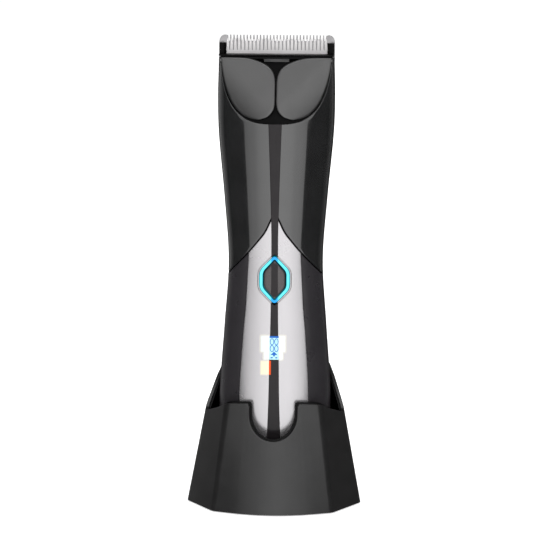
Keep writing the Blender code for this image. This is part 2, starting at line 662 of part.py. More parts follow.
def dock_liner(dock):
    """Black well: its wall hugs the housing and its floor carries the handpiece."""
    floor_z = BOTTOM_Z - GAP
    liner = dock_solid("dock_liner", DOCK_WALL + GAP, floor_z - 1.4, DOCK_TOP, dock, "dock_black")
    cut(liner, dock_solid("liner_inside", DOCK_WALL + GAP + 0.8, floor_z, DOCK_TOP + 4, dock))
    cut(liner, above_rim("liner_rim", LINER_RIM, dock))
    cut(liner, cutout("liner_cutout", CUTOUT_HALF - 0.8, CUTOUT_Z + 0.8, dock))
    screw_x, screw_y = BASE_SCREW
    for side in (-1, 1):
        x = side * screw_x
        join(liner, turned("liner_post", x, screw_y, ((3.0, 3.9), (3.0, floor_z - 0.5)), dock, count=16))
        cut(liner, turned("post_bore", x, screw_y, ((1.2, 2), (1.2, 13)), dock, count=16))
        cut(liner, turned("pin_hole", side * CONTACT_X, 0, ((1.3, 5), (1.3, 30)), dock, count=16))


def dock_base(dock):
    rings = [[(x, y, z) for x, y in dock_plan(z, DOCK_WALL + GAP)] for z in (DOCK_FLOOR + 0.1, 3.5)]
    base = loft("dock_base", rings, dock, "dock_black")
    screw_x, screw_y = BASE_SCREW
    for side, name in ((-1, "left"), (1, "right")):
        hole = ((2.6, 0), (2.6, 2.6), (1.3, 2.6), (1.3, 6))
        cut(base, turned("base_hole", side * screw_x, screw_y, hole, dock, count=16))
        screw = ((2.3, 1.7), (2.3, 2.3), (0.9, 2.3), (0.9, 11))
        turned("base_screw_" + name, side * screw_x, screw_y, screw, dock, "screw_steel", count=16)
        for end, x, y in FEET:
            foot = ((3.2, 0), (3.6, 0.3), (3.6, 1.3))
            turned(f"foot_{end}_{name}", side * x, y, foot, dock, "foot_rubber", count=20)


def dock_electrics(dock, pins):
    box("dock_board", (-11, 11), (-8, 13), (5.0, 6.6), dock, "board_green")
    block = box("pin_block", (-9, 9), (-3.5, 3.5), (9.5, 15.0), dock, "inner_plastic")
    for side, frame in zip((-1, 1), pins):
        cut(block, turned("block_hole", side * CONTACT_X, 0, ((1.2, 5), (1.2, 20)), dock, count=16))
        name = "charge_pin_left" if side < 0 else "charge_pin_right"
        top = BOTTOM_Z + 0.5
        profile = ((0.9, 7.8 - top), (0.9, -0.4), (0.6, -0.1), (0.25, 0))
        turned(name, 0, 0, profile, frame, "contact_gold", count=16)
    inlet = box("power_inlet", (-5.3, 5.3), (15, 22.6), (6.0, 13.0), dock, "inner_plastic")
    cut(inlet, peg_y("inlet_bore", 0, 9.5, 2.6, 16.5, 30, dock))
    join(inlet, peg_y("inlet_pin", 0, 9.5, 0.7, 16.0, 21.5, dock, count=12))


# ---------------------------------------------------------------- build

clear_scene()
PARTS = make_collection("body_groomer")
CUTTERS = make_collection("cutters")
make_materials()

dock_frame = make_frame("dock_zero", 0, HAND_Y, 0)
pin_frames = [make_frame("pin_zero", s * CONTACT_X, 0, BOTTOM_Z + 0.5, dock_frame) for s in (-1, 1)]
dock_housing(dock_frame)
dock_liner(dock_frame)
dock_base(dock_frame)
dock_electrics(dock_frame, pin_frames)

hand_frame = make_frame("handpiece_zero", 0, HAND_Y, 0)
button_frame = make_frame("button_zero", 0, -along(FRONT_DEPTH, BUTTON_Z), BUTTON_Z, hand_frame)
rotor_frame = make_frame("rotor_zero", 0, DRIVE_Y, 0, hand_frame)
tilt_frame = make_frame("tilt_zero", 0, TILT_Y, TILT_Z, hand_frame)
upper_front_cover(hand_frame)
lower_front_shell(hand_frame)
silver_panels(hand_frame)
spine_strips(hand_frame)
head_face(hand_frame)
rear_shell(hand_frame)
bottom_cap(hand_frame)
light_ring(hand_frame)
power_button(button_frame)
electronics(hand_frame)
drive(hand_frame, rotor_frame)
cutter(blade_cassette(tilt_frame))
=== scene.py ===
"""Body groomer standing in its charging dock: looks, lights and camera.

Lengths are in millimetres, scaled once in make_mesh(), except in the last section. +Z is up and the front
faces -Y. The handpiece's axis is HAND_Y behind the frame's origin, and pieces are built about that axis.
"""

import json
import math

import bmesh
import bpy
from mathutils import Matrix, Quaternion, Vector


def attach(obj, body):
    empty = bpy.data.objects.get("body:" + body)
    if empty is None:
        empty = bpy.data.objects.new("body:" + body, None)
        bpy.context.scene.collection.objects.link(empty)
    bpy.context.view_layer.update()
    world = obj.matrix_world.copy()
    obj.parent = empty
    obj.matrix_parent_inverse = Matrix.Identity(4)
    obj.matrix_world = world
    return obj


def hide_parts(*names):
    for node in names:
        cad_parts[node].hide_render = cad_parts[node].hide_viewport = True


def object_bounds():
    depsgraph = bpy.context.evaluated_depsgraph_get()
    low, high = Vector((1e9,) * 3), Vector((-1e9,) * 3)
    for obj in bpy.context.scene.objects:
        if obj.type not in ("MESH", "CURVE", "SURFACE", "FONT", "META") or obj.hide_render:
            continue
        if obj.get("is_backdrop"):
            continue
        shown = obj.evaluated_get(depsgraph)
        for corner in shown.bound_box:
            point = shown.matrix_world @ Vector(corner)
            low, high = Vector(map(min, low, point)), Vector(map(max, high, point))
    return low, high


MM = 0.001
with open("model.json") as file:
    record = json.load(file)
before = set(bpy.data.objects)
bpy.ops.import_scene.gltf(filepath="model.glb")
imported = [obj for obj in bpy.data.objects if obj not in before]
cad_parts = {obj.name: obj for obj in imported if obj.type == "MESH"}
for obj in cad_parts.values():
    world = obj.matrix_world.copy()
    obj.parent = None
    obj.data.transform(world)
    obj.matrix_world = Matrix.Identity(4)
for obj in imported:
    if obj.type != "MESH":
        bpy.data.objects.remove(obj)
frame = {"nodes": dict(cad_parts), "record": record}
CAD_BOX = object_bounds()

# ---------------------------------------------------------------- sizes shared with the CAD
# A hexagon is (half width, half height, half height of its upright sides); FACE points are (y, z).
# The curves are (height, size) stations, PARTING is (distance from the middle line, height) and the
# rims are (depth, height). SEAM_GAP is in degrees of the girth, and DOCK corners are (x, y).

HAND_Y = 2.6
BOTTOM_Z = 17.0
SHELL_Z = 19.3
HEAD_Z = 165.6
HALF_WIDTH = (
    (17, 18.6), (23, 20.1), (40, 20.6), (66, 18.9), (90, 17.4), (114, 18.95), (138, 21.1), (152, 21.4),
    (166, 21.0),
)
FRONT_DEPTH = ((17, 13.6), (23, 15.0), (40, 15.5), (90, 13.2), (142, 15.6), (166, 16.0))
BACK_DEPTH = ((17, 13.6), (23, 15.0), (40, 15.5), (90, 14.0), (132, 13.8), (166, 6.9))
FRONT_POWER = 3.0
BACK_POWER = 2.6
PARTING = (
    (0, 109.8), (1.3, 107.3), (3.5, 102.6), (6.2, 99.0), (9.6, 94.9), (15.5, 88.4), (17.2, 86.1), (23, 80.0),
)
SPINE = ((19, 2.7), (40, 1.95), (55, 1.7), (70, 1.35), (99, 1.18), (114, 1.48), (129, 1.92), (143, 2.4))
PANEL = ((19, 12.6), (43, 12.7), (65, 11.4), (77, 10.4), (99, 9.4), (110, 9.4))
SPINE_GAP = 0.05
SEAM_GAP = 0.35
FACE_LOW = (-15.5, 142.4)
FACE_HIGH = (-7.0, 165.6)
BUTTON_Z = 84.8
HOLE_HEX = (5.95, 9.45, 3.55)
RING_HEX = (5.55, 9.1, 3.4)
RING_BORE = (4.2, 7.5, 2.9)
BUTTON_HEX = (3.85, 7.1, 2.7)
COLLAR_HEX = (6.25, 10.04, 3.69)
TIP_Z = 173.0
FIXED_ROOT = 170.8
MOVING_ROOT = 167.6
MOVING_TIP = 171.7
DOCK_LOW = ((0, -32.0), (21.9, -24.0), (32.2, -8.5), (28.5, 14.0), (15.0, 24.0))
DOCK_HIGH = ((0, -14.3), (14.8, -13.3), (20.9, 1.5), (17.5, 13.5), (11.5, 21.6))
DOCK_RADII = (400.0, 4.0, 4.0, 7.0, 8.0)
DOCK_FLOOR = 1.5
DOCK_SKIRT = 0.4
DOCK_TOP = 62.0
DOCK_WALL = 1.3
RIM = (
    (-40, 39.9), (-18.5, 39.6), (-14, 37.8), (-8, 34.9), (-3, 34.4), (1.5, 40.3), (6, 44), (10, 46.7), (13, 49),
    (18, 51.5), (26, 52.5),
)
# Liner rim: up to 0.5 mm above the housing's rim at the front, so its black lip shows there as partly painted
# shade for the gap round the handpiece.
LINER_RIM = (
    (-40, 40.4), (-18.5, 40.1), (-14, 38.2), (-8, 35), (-3, 34), (1.5, 39.7), (6, 43.4), (13, 48.4), (18, 50.9),
    (26, 51.9),
)
CUTOUT_HALF = 8.9
CUTOUT_Z = 26.4
CUTOUT_BOWL = 9.5


# ---------------------------------------------------------------- curves and surfaces


def along(stations, at):
    """Smooth curve through (position, value) stations."""
    if at <= stations[0][0]:
        return stations[0][1]
    if at >= stations[-1][0]:
        return stations[-1][1]
    i = 0
    while stations[i + 1][0] < at:
        i += 1

    def slope(k):
        low = stations[max(k - 1, 0)]
        high = stations[min(k + 1, len(stations) - 1)]
        return (high[1] - low[1]) / (high[0] - low[0])

    step = stations[i + 1][0] - stations[i][0]
    t = (at - stations[i][0]) / step
    start = (2 * t**3 - 3 * t**2 + 1) * stations[i][1] + (t**3 - 2 * t**2 + t) * slope(i) * step
    end = (3 * t**2 - 2 * t**3) * stations[i + 1][1] + (t**3 - t**2) * slope(i + 1) * step
    return start + end


def arc(*turns):
    """(1 - cosine, sine) of each angle in degrees, the two runs of a quarter round."""
    return [(1 - math.cos(math.radians(turn)), math.sin(math.radians(turn))) for turn in turns]


def oval(x, z, half, tall):
    turns = [math.radians(turn) for turn in range(0, 360, 12)]
    return [(x + half * math.cos(turn), z + tall * math.sin(turn)) for turn in turns]


def spread(low, high, count):
    return [low + (high - low) * i / (count - 1) for i in range(count)]


def lerp(a, b, t):
    return a + (b - a) * t


def girth(angle, z, inset):
    """Point on the handpiece; angle 0 is the front, 90 the right side, 180 the back."""
    half = along(HALF_WIDTH, z) - inset
    sine = math.sin(math.radians(angle))
    cosine = math.cos(math.radians(angle))
    stations, power = (FRONT_DEPTH, FRONT_POWER) if cosine > 0 else (BACK_DEPTH, BACK_POWER)
    depth = along(stations, z) - inset
    x = half * math.copysign(abs(sine) ** (2 / FRONT_POWER), sine)
    y = -depth * math.copysign(abs(cosine) ** (2 / power), cosine)
    return x, y, z


def front(x, z, inset):
    """Point on the front of the handpiece straight behind (x, z)."""
    half = along(HALF_WIDTH, z)
    share = min(abs(x) / half, 1.0)
    return x, -(along(FRONT_DEPTH, z) - inset) * (1 - share**FRONT_POWER) ** (1 / FRONT_POWER), z


def angle_at(x, z):
    """Angle at which girth() passes through x."""
    share = min(abs(x) / along(HALF_WIDTH, z), 1.0)
    return math.copysign(math.degrees(math.asin(share ** (FRONT_POWER / 2))), x)


def face_y(z, depth=0.0):
    """Depth of the slanted head face at a height, or of a plane that lies depth behind it."""
    run = (FACE_HIGH[0] - FACE_LOW[0]) / (FACE_HIGH[1] - FACE_LOW[1])
    return FACE_LOW[0] + (z - FACE_LOW[1]) * run + depth * math.hypot(1, run)


def arc_half(z):
    """Half width of the line where the head face meets the rounded front."""
    share = min(abs(face_y(z)) / along(FRONT_DEPTH, z), 1.0)
    return along(HALF_WIDTH, z) * (1 - share**FRONT_POWER) ** (1 / FRONT_POWER)


def parting(x, offset):
    """Height of a line that runs beside the V-shaped parting line at an even distance."""
    slope = (along(PARTING, abs(x) + 0.4) - along(PARTING, abs(x))) / 0.4
    return along(PARTING, abs(x)) + offset * math.hypot(1, slope)


def hex_half(sizes, z):
    """Half width of an upright hexagon at a height, 0 outside it."""
    half, height, side = sizes
    away = abs(z - BUTTON_Z)
    if away <= side:
        return half
    return max(half * (height - away) / (height - side), 0.0)


# ---------------------------------------------------------------- mesh helpers


def add_object(name, data):
    obj = bpy.data.objects.new(name, data)
    bpy.context.scene.collection.objects.link(obj)
    return obj


def make_mesh(name, verts, faces, sharp=35.0, flat=False):
    """Object from points in millimetres about the handpiece's axis; a flat one keeps its faces as they are."""
    mesh = bpy.data.meshes.new(name)
    mesh.from_pydata([(x * MM, (y + HAND_Y) * MM, z * MM) for x, y, z in verts], [], faces)
    work = bmesh.new()
    work.from_mesh(mesh)
    bmesh.ops.remove_doubles(work, verts=work.verts, dist=2e-6)
    bmesh.ops.dissolve_degenerate(work, edges=work.edges, dist=1e-6)
    if not flat:
        bmesh.ops.recalc_face_normals(work, faces=work.faces)
    work.to_mesh(mesh)
    work.free()
    mesh.shade_smooth()
    mesh.set_sharp_from_angle(angle=math.radians(sharp))
    return add_object(name, mesh)


def grid_faces(rows, columns, start=0, ring=False):
    faces = []
    for j in range(rows - 1):
        for i in range(columns if ring else columns - 1):
            k = (i + 1) % columns
            a = start + j * columns
            b = a + columns
            faces.append((a + i, a + k, b + k, b + i))
    return faces


def side_places(length, radius, count, low=True, high=True):
    """(shares, drops) along a side, crowded where its ends are rounded over."""
    radius = min(radius, length * 0.3)
    edge = [radius * drop for drop, _ in arc(0, 12, 25, 40, 55, 72)]
    start = edge if low else [0.0]
    end = [length - e for e in reversed(edge)] if high else [length]
    first = start[-1] + (radius * 0.4 if low else 0)
    last = end[0] - (radius * 0.4 if high else 0)
    inner = spread(first, last, count)
    places = start + inner[(0 if low else 1):(None if high else -1)] + end
    drops = []
    for place in places:
        away = min(place if low else length, length - place if high else length)
        drops.append(max(radius - away, 0.0))
    return [place / length for place in places], drops


def panel_mesh(point, size, radius, counts, depth, rounded=(True, True, True, True)):
    """Verts and faces of a plate that follows point(u, v, inset), with rounded borders and side walls.

    size is its rough width and height; rounded says which of the u low, u high, v low and v high sides are.
    """
    us, du = side_places(size[0], radius, counts[0], rounded[0], rounded[1])
    vs, dv = side_places(size[1], radius, counts[1], rounded[2], rounded[3])
    us, du = [us[0], *us, us[-1]], [None, *du, None]
    vs, dv = [vs[0], *vs, vs[-1]], [None, *dv, None]
    verts = []
    for v, down_v in zip(vs, dv):
        for u, down_u in zip(us, du):
            if down_u is None or down_v is None:
                inset = depth
            else:
                inset = radius - math.sqrt(max(radius**2 - min(down_u**2 + down_v**2, radius**2), 0.0))
            verts.append(point(u, v, inset))
    return verts, grid_faces(len(vs), len(us))


def merge(*parts):
    verts, faces = [], []
    for more_verts, more_faces in parts:
        start = len(verts)
        verts += more_verts
        faces += [tuple(start + i for i in face) for face in more_faces]
    return verts, faces


def mirrored(part):
    verts, faces = part
    return [(-x, y, z) for x, y, z in verts], [tuple(reversed(face)) for face in faces]


def loft_rings(rings, cap_low=True, cap_high=True):
    count = len(rings[0])
    verts = [vert for ring in rings for vert in ring]
    faces = grid_faces(len(rings), count, ring=True)
    if cap_low:
        faces.append(tuple(reversed(range(count))))
    if cap_high:
        faces.append(tuple(range(len(verts) - count, len(verts))))
    return verts, faces


def place(obj, body, slot, *nodes, look=None):
    """Gives a piece its slot and look, and lets it ride on a body and stand for CAD nodes."""
    obj.data.materials.append(LOOKS[look or slot])
    if nodes:
        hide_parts(*nodes)
    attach(obj, body)


# ---------------------------------------------------------------- materials


LOOKS = {}


def new_material(name, colour, rough, metal=0.0):
    material = LOOKS[name] = bpy.data.materials.new(name)
    material.use_nodes = True
    shader = material.node_tree.nodes["Principled BSDF"]
    shader.inputs["Base Color"].default_value = (*colour, 1.0)
    shader.inputs["Roughness"].default_value = rough
    shader.inputs["Metallic"].default_value = metal
    material.diffuse_color = (*colour, 1.0)
    return material, shader


def node(material, kind, **settings):
    made = material.node_tree.nodes.new(kind)
    for key, value in settings.items():
        setattr(made, key, value)
    return made


def link(material, source, target):
    material.node_tree.links.new(source, target)


def noise(material, scale, detail=3.0, stretch=(1, 1, 1)):
    """Noise in object space; scale is in features per millimetre."""
    where = node(material, "ShaderNodeTexCoord")
    mapping = node(material, "ShaderNodeMapping")
    mapping.inputs["Scale"].default_value = stretch
    link(material, where.outputs["Object"], mapping.inputs["Vector"])
    grain = node(material, "ShaderNodeTexNoise")
    grain.inputs["Scale"].default_value = scale / MM
    grain.inputs["Detail"].default_value = detail
    link(material, mapping.outputs["Vector"], grain.inputs["Vector"])
    return grain.outputs["Fac"]


def remap(material, value, low, high, start=0.0, end=1.0):
    ranged = node(material, "ShaderNodeMapRange")
    ranged.inputs["From Min"].default_value = start
    ranged.inputs["From Max"].default_value = end
    ranged.inputs["To Min"].default_value = low
    ranged.inputs["To Max"].default_value = high
    link(material, value, ranged.inputs["Value"])
    return ranged.outputs["Result"]


def vary(material, shader, rough, spread_by, scale, bump_scale, bump, stretch=(1, 1, 1)):
    """Roughness that drifts over the surface and a fine bump."""
    drift = remap(material, noise(material, scale, 4.0), rough - spread_by, rough + spread_by, 0.3, 0.7)
    link(material, drift, shader.inputs["Roughness"])
    lift = node(material, "ShaderNodeBump")
    lift.inputs["Strength"].default_value = bump
    lift.inputs["Distance"].default_value = 0.03 * MM
    link(material, noise(material, bump_scale, 2.0, stretch), lift.inputs["Height"])
    link(material, lift.outputs["Normal"], shader.inputs["Normal"])


def tint(material, shader, dark, light, scale):
    """Base colour that drifts between two close tones."""
    ramp = node(material, "ShaderNodeValToRGB")
    ramp.color_ramp.elements[0].position = 0.35
    ramp.color_ramp.elements[0].color = (*dark, 1.0)
    ramp.color_ramp.elements[1].position = 0.65
    ramp.color_ramp.elements[1].color = (*light, 1.0)
    link(material, noise(material, scale, 4.0), ramp.inputs["Fac"])
    link(material, ramp.outputs["Color"], shader.inputs["Base Color"])


def plastic(name, dark, light, rough, coat=0.0, bump=0.15, bump_scale=9.0, drift=0.03, level=0.5):
    material, shader = new_material(name, light, rough)
    tint(material, shader, dark, light, 0.12)
    vary(material, shader, rough, drift, 0.25, bump_scale, bump)
    shader.inputs["Coat Weight"].default_value = coat
    shader.inputs["Coat Roughness"].default_value = 0.04
    shader.inputs["Specular IOR Level"].default_value = level


def metal(name, dark, light, rough, stretch=(1, 1, 1), bump=0.2, bump_scale=4.0):
    material, shader = new_material(name, light, rough, 1.0)
    tint(material, shader, dark, light, 0.3)
    vary(material, shader, rough, 0.05, 0.4, bump_scale, bump, stretch)


def window(material, axis, low, high, soft):
    """1 between two places along an axis, fading to 0 over soft on either side; millimetres."""
    where = node(material, "ShaderNodeTexCoord")
    split = node(material, "ShaderNodeSeparateXYZ")
    link(material, where.outputs["Object"], split.inputs["Vector"])
    ramps = []
    for start, end in ((low - soft, low + soft), (high + soft, high - soft)):
        ramp = node(material, "ShaderNodeMapRange", interpolation_type="SMOOTHSTEP")
        ramp.inputs["From Min"].default_value = start * MM
        ramp.inputs["From Max"].default_value = end * MM
        link(material, split.outputs[axis], ramp.inputs["Value"])
        ramps.append(ramp.outputs["Result"])
    return times(material, *ramps)


def times(material, first, second):
    product = node(material, "ShaderNodeMath", operation="MULTIPLY")
    for value, socket in zip((first, second), product.inputs):
        if isinstance(value, float):
            socket.default_value = value
        else:
            link(material, value, socket)
    return product.outputs["Value"]


def lit_area(material, box, soft):
    """Mask that is 1 inside (x low, x high, z low, z high), in millimetres."""
    across = window(material, "X", box[0], box[1], soft)
    return times(material, across, window(material, "Z", box[2], box[3], soft))


def larger(material, first, second):
    both = node(material, "ShaderNodeMath", operation="MAXIMUM")
    link(material, first, both.inputs[0])
    link(material, second, both.inputs[1])
    return both.outputs["Value"]


def silver_material():
    """Metallised coat with the display and the charge light shining through it."""
    material, shader = new_material("silver_coat", (0.47, 0.455, 0.47), 0.3, 0.75)
    tint(material, shader, (0.438, 0.428, 0.440), (0.446, 0.434, 0.446), 0.05)
    vary(material, shader, 0.27, 0.006, 0.05, 7.0, 0.004)
    shader.inputs["Coat Weight"].default_value = 0.3
    shader.inputs["Coat Roughness"].default_value = 0.08
    white = larger(
        material,
        lit_area(material, (-5.0, 4.2, 58.1, 64.3), 0.7),
        lit_area(material, (-3.9, 3.3, 55.3, 60.0), 0.6),
    )
    cream = lit_area(material, (-4.9, 0.0, 49.8, 54.9), 0.5)
    glow = node(material, "ShaderNodeMix", data_type="RGBA")
    link(material, white, glow.inputs[0])
    glow.inputs[6].default_value = (1.0, 0.82, 0.12, 1.0)
    glow.inputs[7].default_value = (0.7, 0.97, 1.0, 1.0)
    link(material, glow.outputs[2], shader.inputs["Emission Color"])
    both = larger(material, white, cream)
    link(material, times(material, both, 0.42), shader.inputs["Emission Strength"])


def ring_material():
    """Lit light guide: cyan, deeper blue where the dark spine runs under it."""
    material, shader = new_material("ring_light", (0.01, 0.12, 0.16), 0.25)
    colour = node(material, "ShaderNodeMix", data_type="RGBA")
    link(material, window(material, "X", -1.25, 1.25, 0.45), colour.inputs[0])
    colour.inputs[6].default_value = (0.17, 0.9, 0.98, 1.0)
    colour.inputs[7].default_value = (0.02, 0.33, 0.92, 1.0)
    link(material, colour.outputs[2], shader.inputs["Emission Color"])
    drift = noise(material, 0.5, 2.0)
    link(material, remap(material, drift, 0.92, 1.06, 0.3, 0.7), shader.inputs["Emission Strength"])
    vary(material, shader, 0.25, 0.03, 0.4, 6.0, 0.1)
    shader.inputs["Specular IOR Level"].default_value = 0.2


def glow_material(name, colour, strength):
    material, shader = new_material(name, [part * 0.1 for part in colour], 0.4)
    shader.inputs["Specular IOR Level"].default_value = 0.1
    shader.inputs["Emission Color"].default_value = (*colour, 1.0)
    drift = remap(material, noise(material, 0.8, 2.0), strength * 0.9, strength * 1.1, 0.3, 0.7)
    link(material, drift, shader.inputs["Emission Strength"])


def make_looks():
    plastic("gloss_graphite", (0.0095, 0.0098, 0.01), (0.012, 0.0122, 0.0125), 0.13, 1.0, 0.04)
    plastic("grip_dark", (0.0195, 0.018, 0.0205), (0.0225, 0.0205, 0.0235), 0.3, 0.0, 0.01, 6.0)
    plastic("grip_rear", (0.0105, 0.01, 0.0115), (0.0145, 0.014, 0.0155), 0.42, 0.0, 0.5, 7.0, 0.05)
    plastic("spine_gloss", (0.015, 0.013, 0.0142), (0.0178, 0.0156, 0.017), 0.18, 0.0, 0.03, level=0.16)
    plastic("head_black", (0.002, 0.002, 0.0021), (0.0032, 0.0032, 0.0033), 0.3, 0.0, 0.1, level=0.05)
    plastic("head_grey", (0.015, 0.0148, 0.015), (0.0185, 0.0182, 0.0185), 0.36, 0.0, 0.02, level=1.15)
    plastic("button_grey", (0.042, 0.037, 0.038), (0.048, 0.043, 0.044), 0.27, 0.0, 0.05)
    plastic("dock_satin", (0.0105, 0.0103, 0.0105), (0.0135, 0.0132, 0.0135), 0.3, 0.0, 0.03, 7.0, 0.02)
    # The liner's near-black, much darker than the housing, is partly painted shade for the inside of the well.
    plastic(
        "dock_black", (0.0022, 0.0022, 0.0024), (0.0036, 0.0036, 0.0038), 0.45, 0.0, 0.3, 8.0, 0.04, 0.12
    )
    plastic("inner_plastic", (0.09, 0.09, 0.09), (0.12, 0.12, 0.12), 0.5, 0.0, 0.3)
    plastic("board_green", (0.01, 0.09, 0.045), (0.015, 0.12, 0.06), 0.4, 0.3, 0.2)
    plastic("cell_wrap", (0.04, 0.18, 0.09), (0.05, 0.22, 0.11), 0.35, 0.4, 0.1)
    plastic("foot_rubber", (0.006, 0.006, 0.006), (0.01, 0.01, 0.01), 0.8, 0.0, 0.6, 5.0, 0.05, 0.2)
    metal("screw_steel", (0.40, 0.40, 0.41), (0.48, 0.48, 0.49), 0.32)
    metal("blade_steel", (0.27, 0.265, 0.27), (0.33, 0.325, 0.33), 0.34, (0.15, 1, 3), 0.1)
    plastic("blade_ceramic", (0.60, 0.585, 0.59), (0.66, 0.645, 0.65), 0.35, 0.0, 0.1)
    metal("contact_gold", (0.60, 0.42, 0.17), (0.70, 0.52, 0.24), 0.22)
    silver_material()
    ring_material()
    glow_material("ring_edge", (0.0, 0.13, 0.16), 1.0)
    glow_material("display_blue", (0.025, 0.16, 0.62), 0.9)
    glow_material("display_white", (0.55, 0.93, 1.0), 1.0)
    glow_material("display_orange", (1.0, 0.105, 0.02), 0.85)


def repaint_cad():
    """Pieces whose CAD shape already is the finished one get a finished material."""
    looks = {"motor_steel": "screw_steel", "seal_rubber": "foot_rubber", "grip_dark": "grip_rear"}
    looks["display_lens"] = "inner_plastic"
    same = ("dock_black", "foot_rubber", "screw_steel", "contact_gold", "board_green", "inner_plastic")
    same += ("cell_wrap", "blade_steel", "spine_gloss", "head_black")
    looks.update((slot, slot) for slot in same)
    slots = {entry["node"]: entry["material_slot"] for entry in frame["record"]["subparts"]}
    for name, obj in frame["nodes"].items():
        look = looks.get(slots[name])
        if look and obj.material_slots:
            obj.material_slots[0].material = LOOKS[look]
        obj.data.shade_smooth()
        obj.data.set_sharp_from_angle(angle=math.radians(28))


# ---------------------------------------------------------------- handpiece


def upper_front_cover():
    """Two glossy halves beside the spine, from the V-shaped parting line to the edge of the head face."""
    wall = 3.0

    def angle(u, z):
        inner = angle_at(along(SPINE, z) + SPINE_GAP, z)
        return lerp(inner, 90 - SEAM_GAP, u**1.1)

    def bottom(u):
        z = 95.0
        for _ in range(12):
            x = girth(angle(u, z), z, 0)[0]
            z = lerp(z, parting(x, 0.2), 0.7)
        return z

    def top(u):
        low, high = 138.0, HEAD_Z - 0.25

        def beyond(z):
            return face_y(z) - girth(angle(u, z), z, 0)[1]

        if beyond(high) < 0:
            return high
        for _ in range(26):
            middle = (low + high) / 2
            if beyond(middle) > 0:
                high = middle
            else:
                low = middle
        return low

    ends = {}

    def point(u, v, inset):
        if u not in ends:
            ends[u] = (bottom(u), top(u))
        z = lerp(ends[u][0], ends[u][1], v)
        if v > 0.999 and inset > 1.0 and ends[u][1] < HEAD_Z - 0.3:
            x, y, height = girth(angle(u, z), z, 0)
            return x, y + wall, height
        return girth(angle(u, z), z, inset)

    half = panel_mesh(point, (26, 70), 0.4, (44, 60), 1.9, (False, False, True, True))
    verts, faces = merge(half, mirrored(half))
    obj = make_mesh("upper_front_cover_skin", verts, faces, sharp=50)
    place(obj, "handpiece", "gloss_graphite", "upper_front_cover")


def grip_sides():
    """Dark sides below the parting line, from the silver panels round to the seam."""

    def angle(u, z):
        return lerp(angle_at(along(PANEL, z) + 0.14, z), 90 - SEAM_GAP, u)

    def top(u):
        z = 92.0
        for _ in range(12):
            x = girth(angle(u, z), z, 0)[0]
            z = lerp(z, parting(x, -0.22), 0.7)
        return z

    def point(u, v, inset):
        z = lerp(SHELL_Z, top(u), v)
        return girth(angle(u, z), z, inset)

    half = panel_mesh(point, (16, 72), 0.35, (26, 56), 2.2, (False, False, False, True))
    verts, faces = merge(half, mirrored(half))
    obj = make_mesh("grip_sides", verts, faces, sharp=50)
    place(obj, "handpiece", "grip_dark", "lower_front_shell")


def shell_lining():
    """Dark inner wall that closes the view through the seams."""
    rings = []
    for z in spread(SHELL_Z + 0.4, 160.5, 30):
        limit = face_y(z, 2.4) if z > FACE_LOW[1] - 6 else -math.inf
        ring = [girth(angle, z, 2.35) for angle in spread(0, 360 - 7.5, 48)]
        rings.append([(x, max(y, limit), z) for x, y, _ in ring])
    obj = make_mesh("shell_lining", *loft_rings(rings, False, False), sharp=60)
    place(obj, "handpiece", "head_black")


def silver_panels():
    """Bright panels between the spine and the grip, cut out round the light ring's collar."""
    hole = sorted({(round(z, 4), x) for x, z in hex_line(COLLAR_HEX, 2.1, 2.1, 14) if x >= 0})

    def inner(z):
        cut = along(hole, z) if hole[0][0] < z < hole[-1][0] else 0.0
        return max(along(SPINE, z) + SPINE_GAP, cut)

    def outer(z):
        return along(PANEL, z) - 0.02

    def top(u):
        z = 98.0
        for _ in range(16):
            z = lerp(z, parting(lerp(inner(z), outer(z), u), -0.26), 0.5)
        return z

    def point(u, v, inset):
        z = lerp(SHELL_Z, top(u), v)
        return front(lerp(inner(z), outer(z), u), z, inset)

    half = panel_mesh(point, (9.5, 82), 0.2, (26, 220), 1.0, (False, True, False, True))
    for name, part in (("silver_panel_left", mirrored(half)), ("silver_panel_right", half)):
        obj = make_mesh(name + "_skin", *part, sharp=50)
        place(obj, "handpiece", "silver_coat", name)


def spine_piece(name, node_name, low, high, counts, low_round=True, high_round=True):
    """Part of the dark strip; low and high are functions of the distance from the middle line."""

    def point(u, v, inset):
        side = u * 2 - 1
        z = lerp(low(0), high(0), v)
        x = side * along(SPINE, z)
        z = lerp(low(abs(x)), high(abs(x)), v)
        return front(side * along(SPINE, z), z, inset)

    part = panel_mesh(point, (3.4, high(0) - low(0)), 0.1, counts, 1.0, (True, True, low_round, high_round))
    obj = make_mesh(name, *part, sharp=50)
    place(obj, "handpiece", "spine_gloss", node_name)


def spine():
    """Dark strip down the middle, in three lengths that leave room for the light ring."""
    half, height, side = HOLE_HEX
    join = 108.5
    slope = (height - side) / half

    def ring_top(x):
        return BUTTON_Z + height + SPINE_GAP - x * slope

    def ring_bottom(x):
        return BUTTON_Z - height - SPINE_GAP + x * slope

    top = FACE_LOW[1] - 0.3
    spine_piece("spine_upper_strip", "spine_upper", lambda x: join, lambda x: top, (8, 50), low_round=False)
    spine_piece("spine_middle_strip", "spine_middle", ring_top, lambda x: join, (8, 20), high_round=False)
    spine_piece("spine_lower_strip", "spine_lower", lambda x: SHELL_Z, ring_bottom, (8, 70))


def arc_line(inset, count=72):
    """Points of the U-shaped edge of the head face, from top left round to top right, as (x, z)."""
    right = []
    base = FACE_LOW[1]
    for i in range(count):
        z = base + (HEAD_Z - base) * (i / (count - 1)) ** 2
        right.append((max(arc_half(z), 0.0), z))
    line = [(-x, z) for x, z in reversed(right[1:])] + right
    moved = []
    for i, (x, z) in enumerate(line):
        before, after = line[max(i - 1, 0)], line[min(i + 1, len(line) - 1)]
        dx, dz = after[0] - before[0], after[1] - before[1]
        length = math.hypot(dx, dz)
        moved.append((x - dz / length * inset, z + dx / length * inset))
    return moved


def dish(x, z):
    """How far each plate dips towards its lower outer corner."""
    away = ((14.2 - abs(x)) + (z - 145.6)) / math.sqrt(2)
    return 3.1 * min(max(1 - away / 12.0, 0.0), 1.0) ** 2


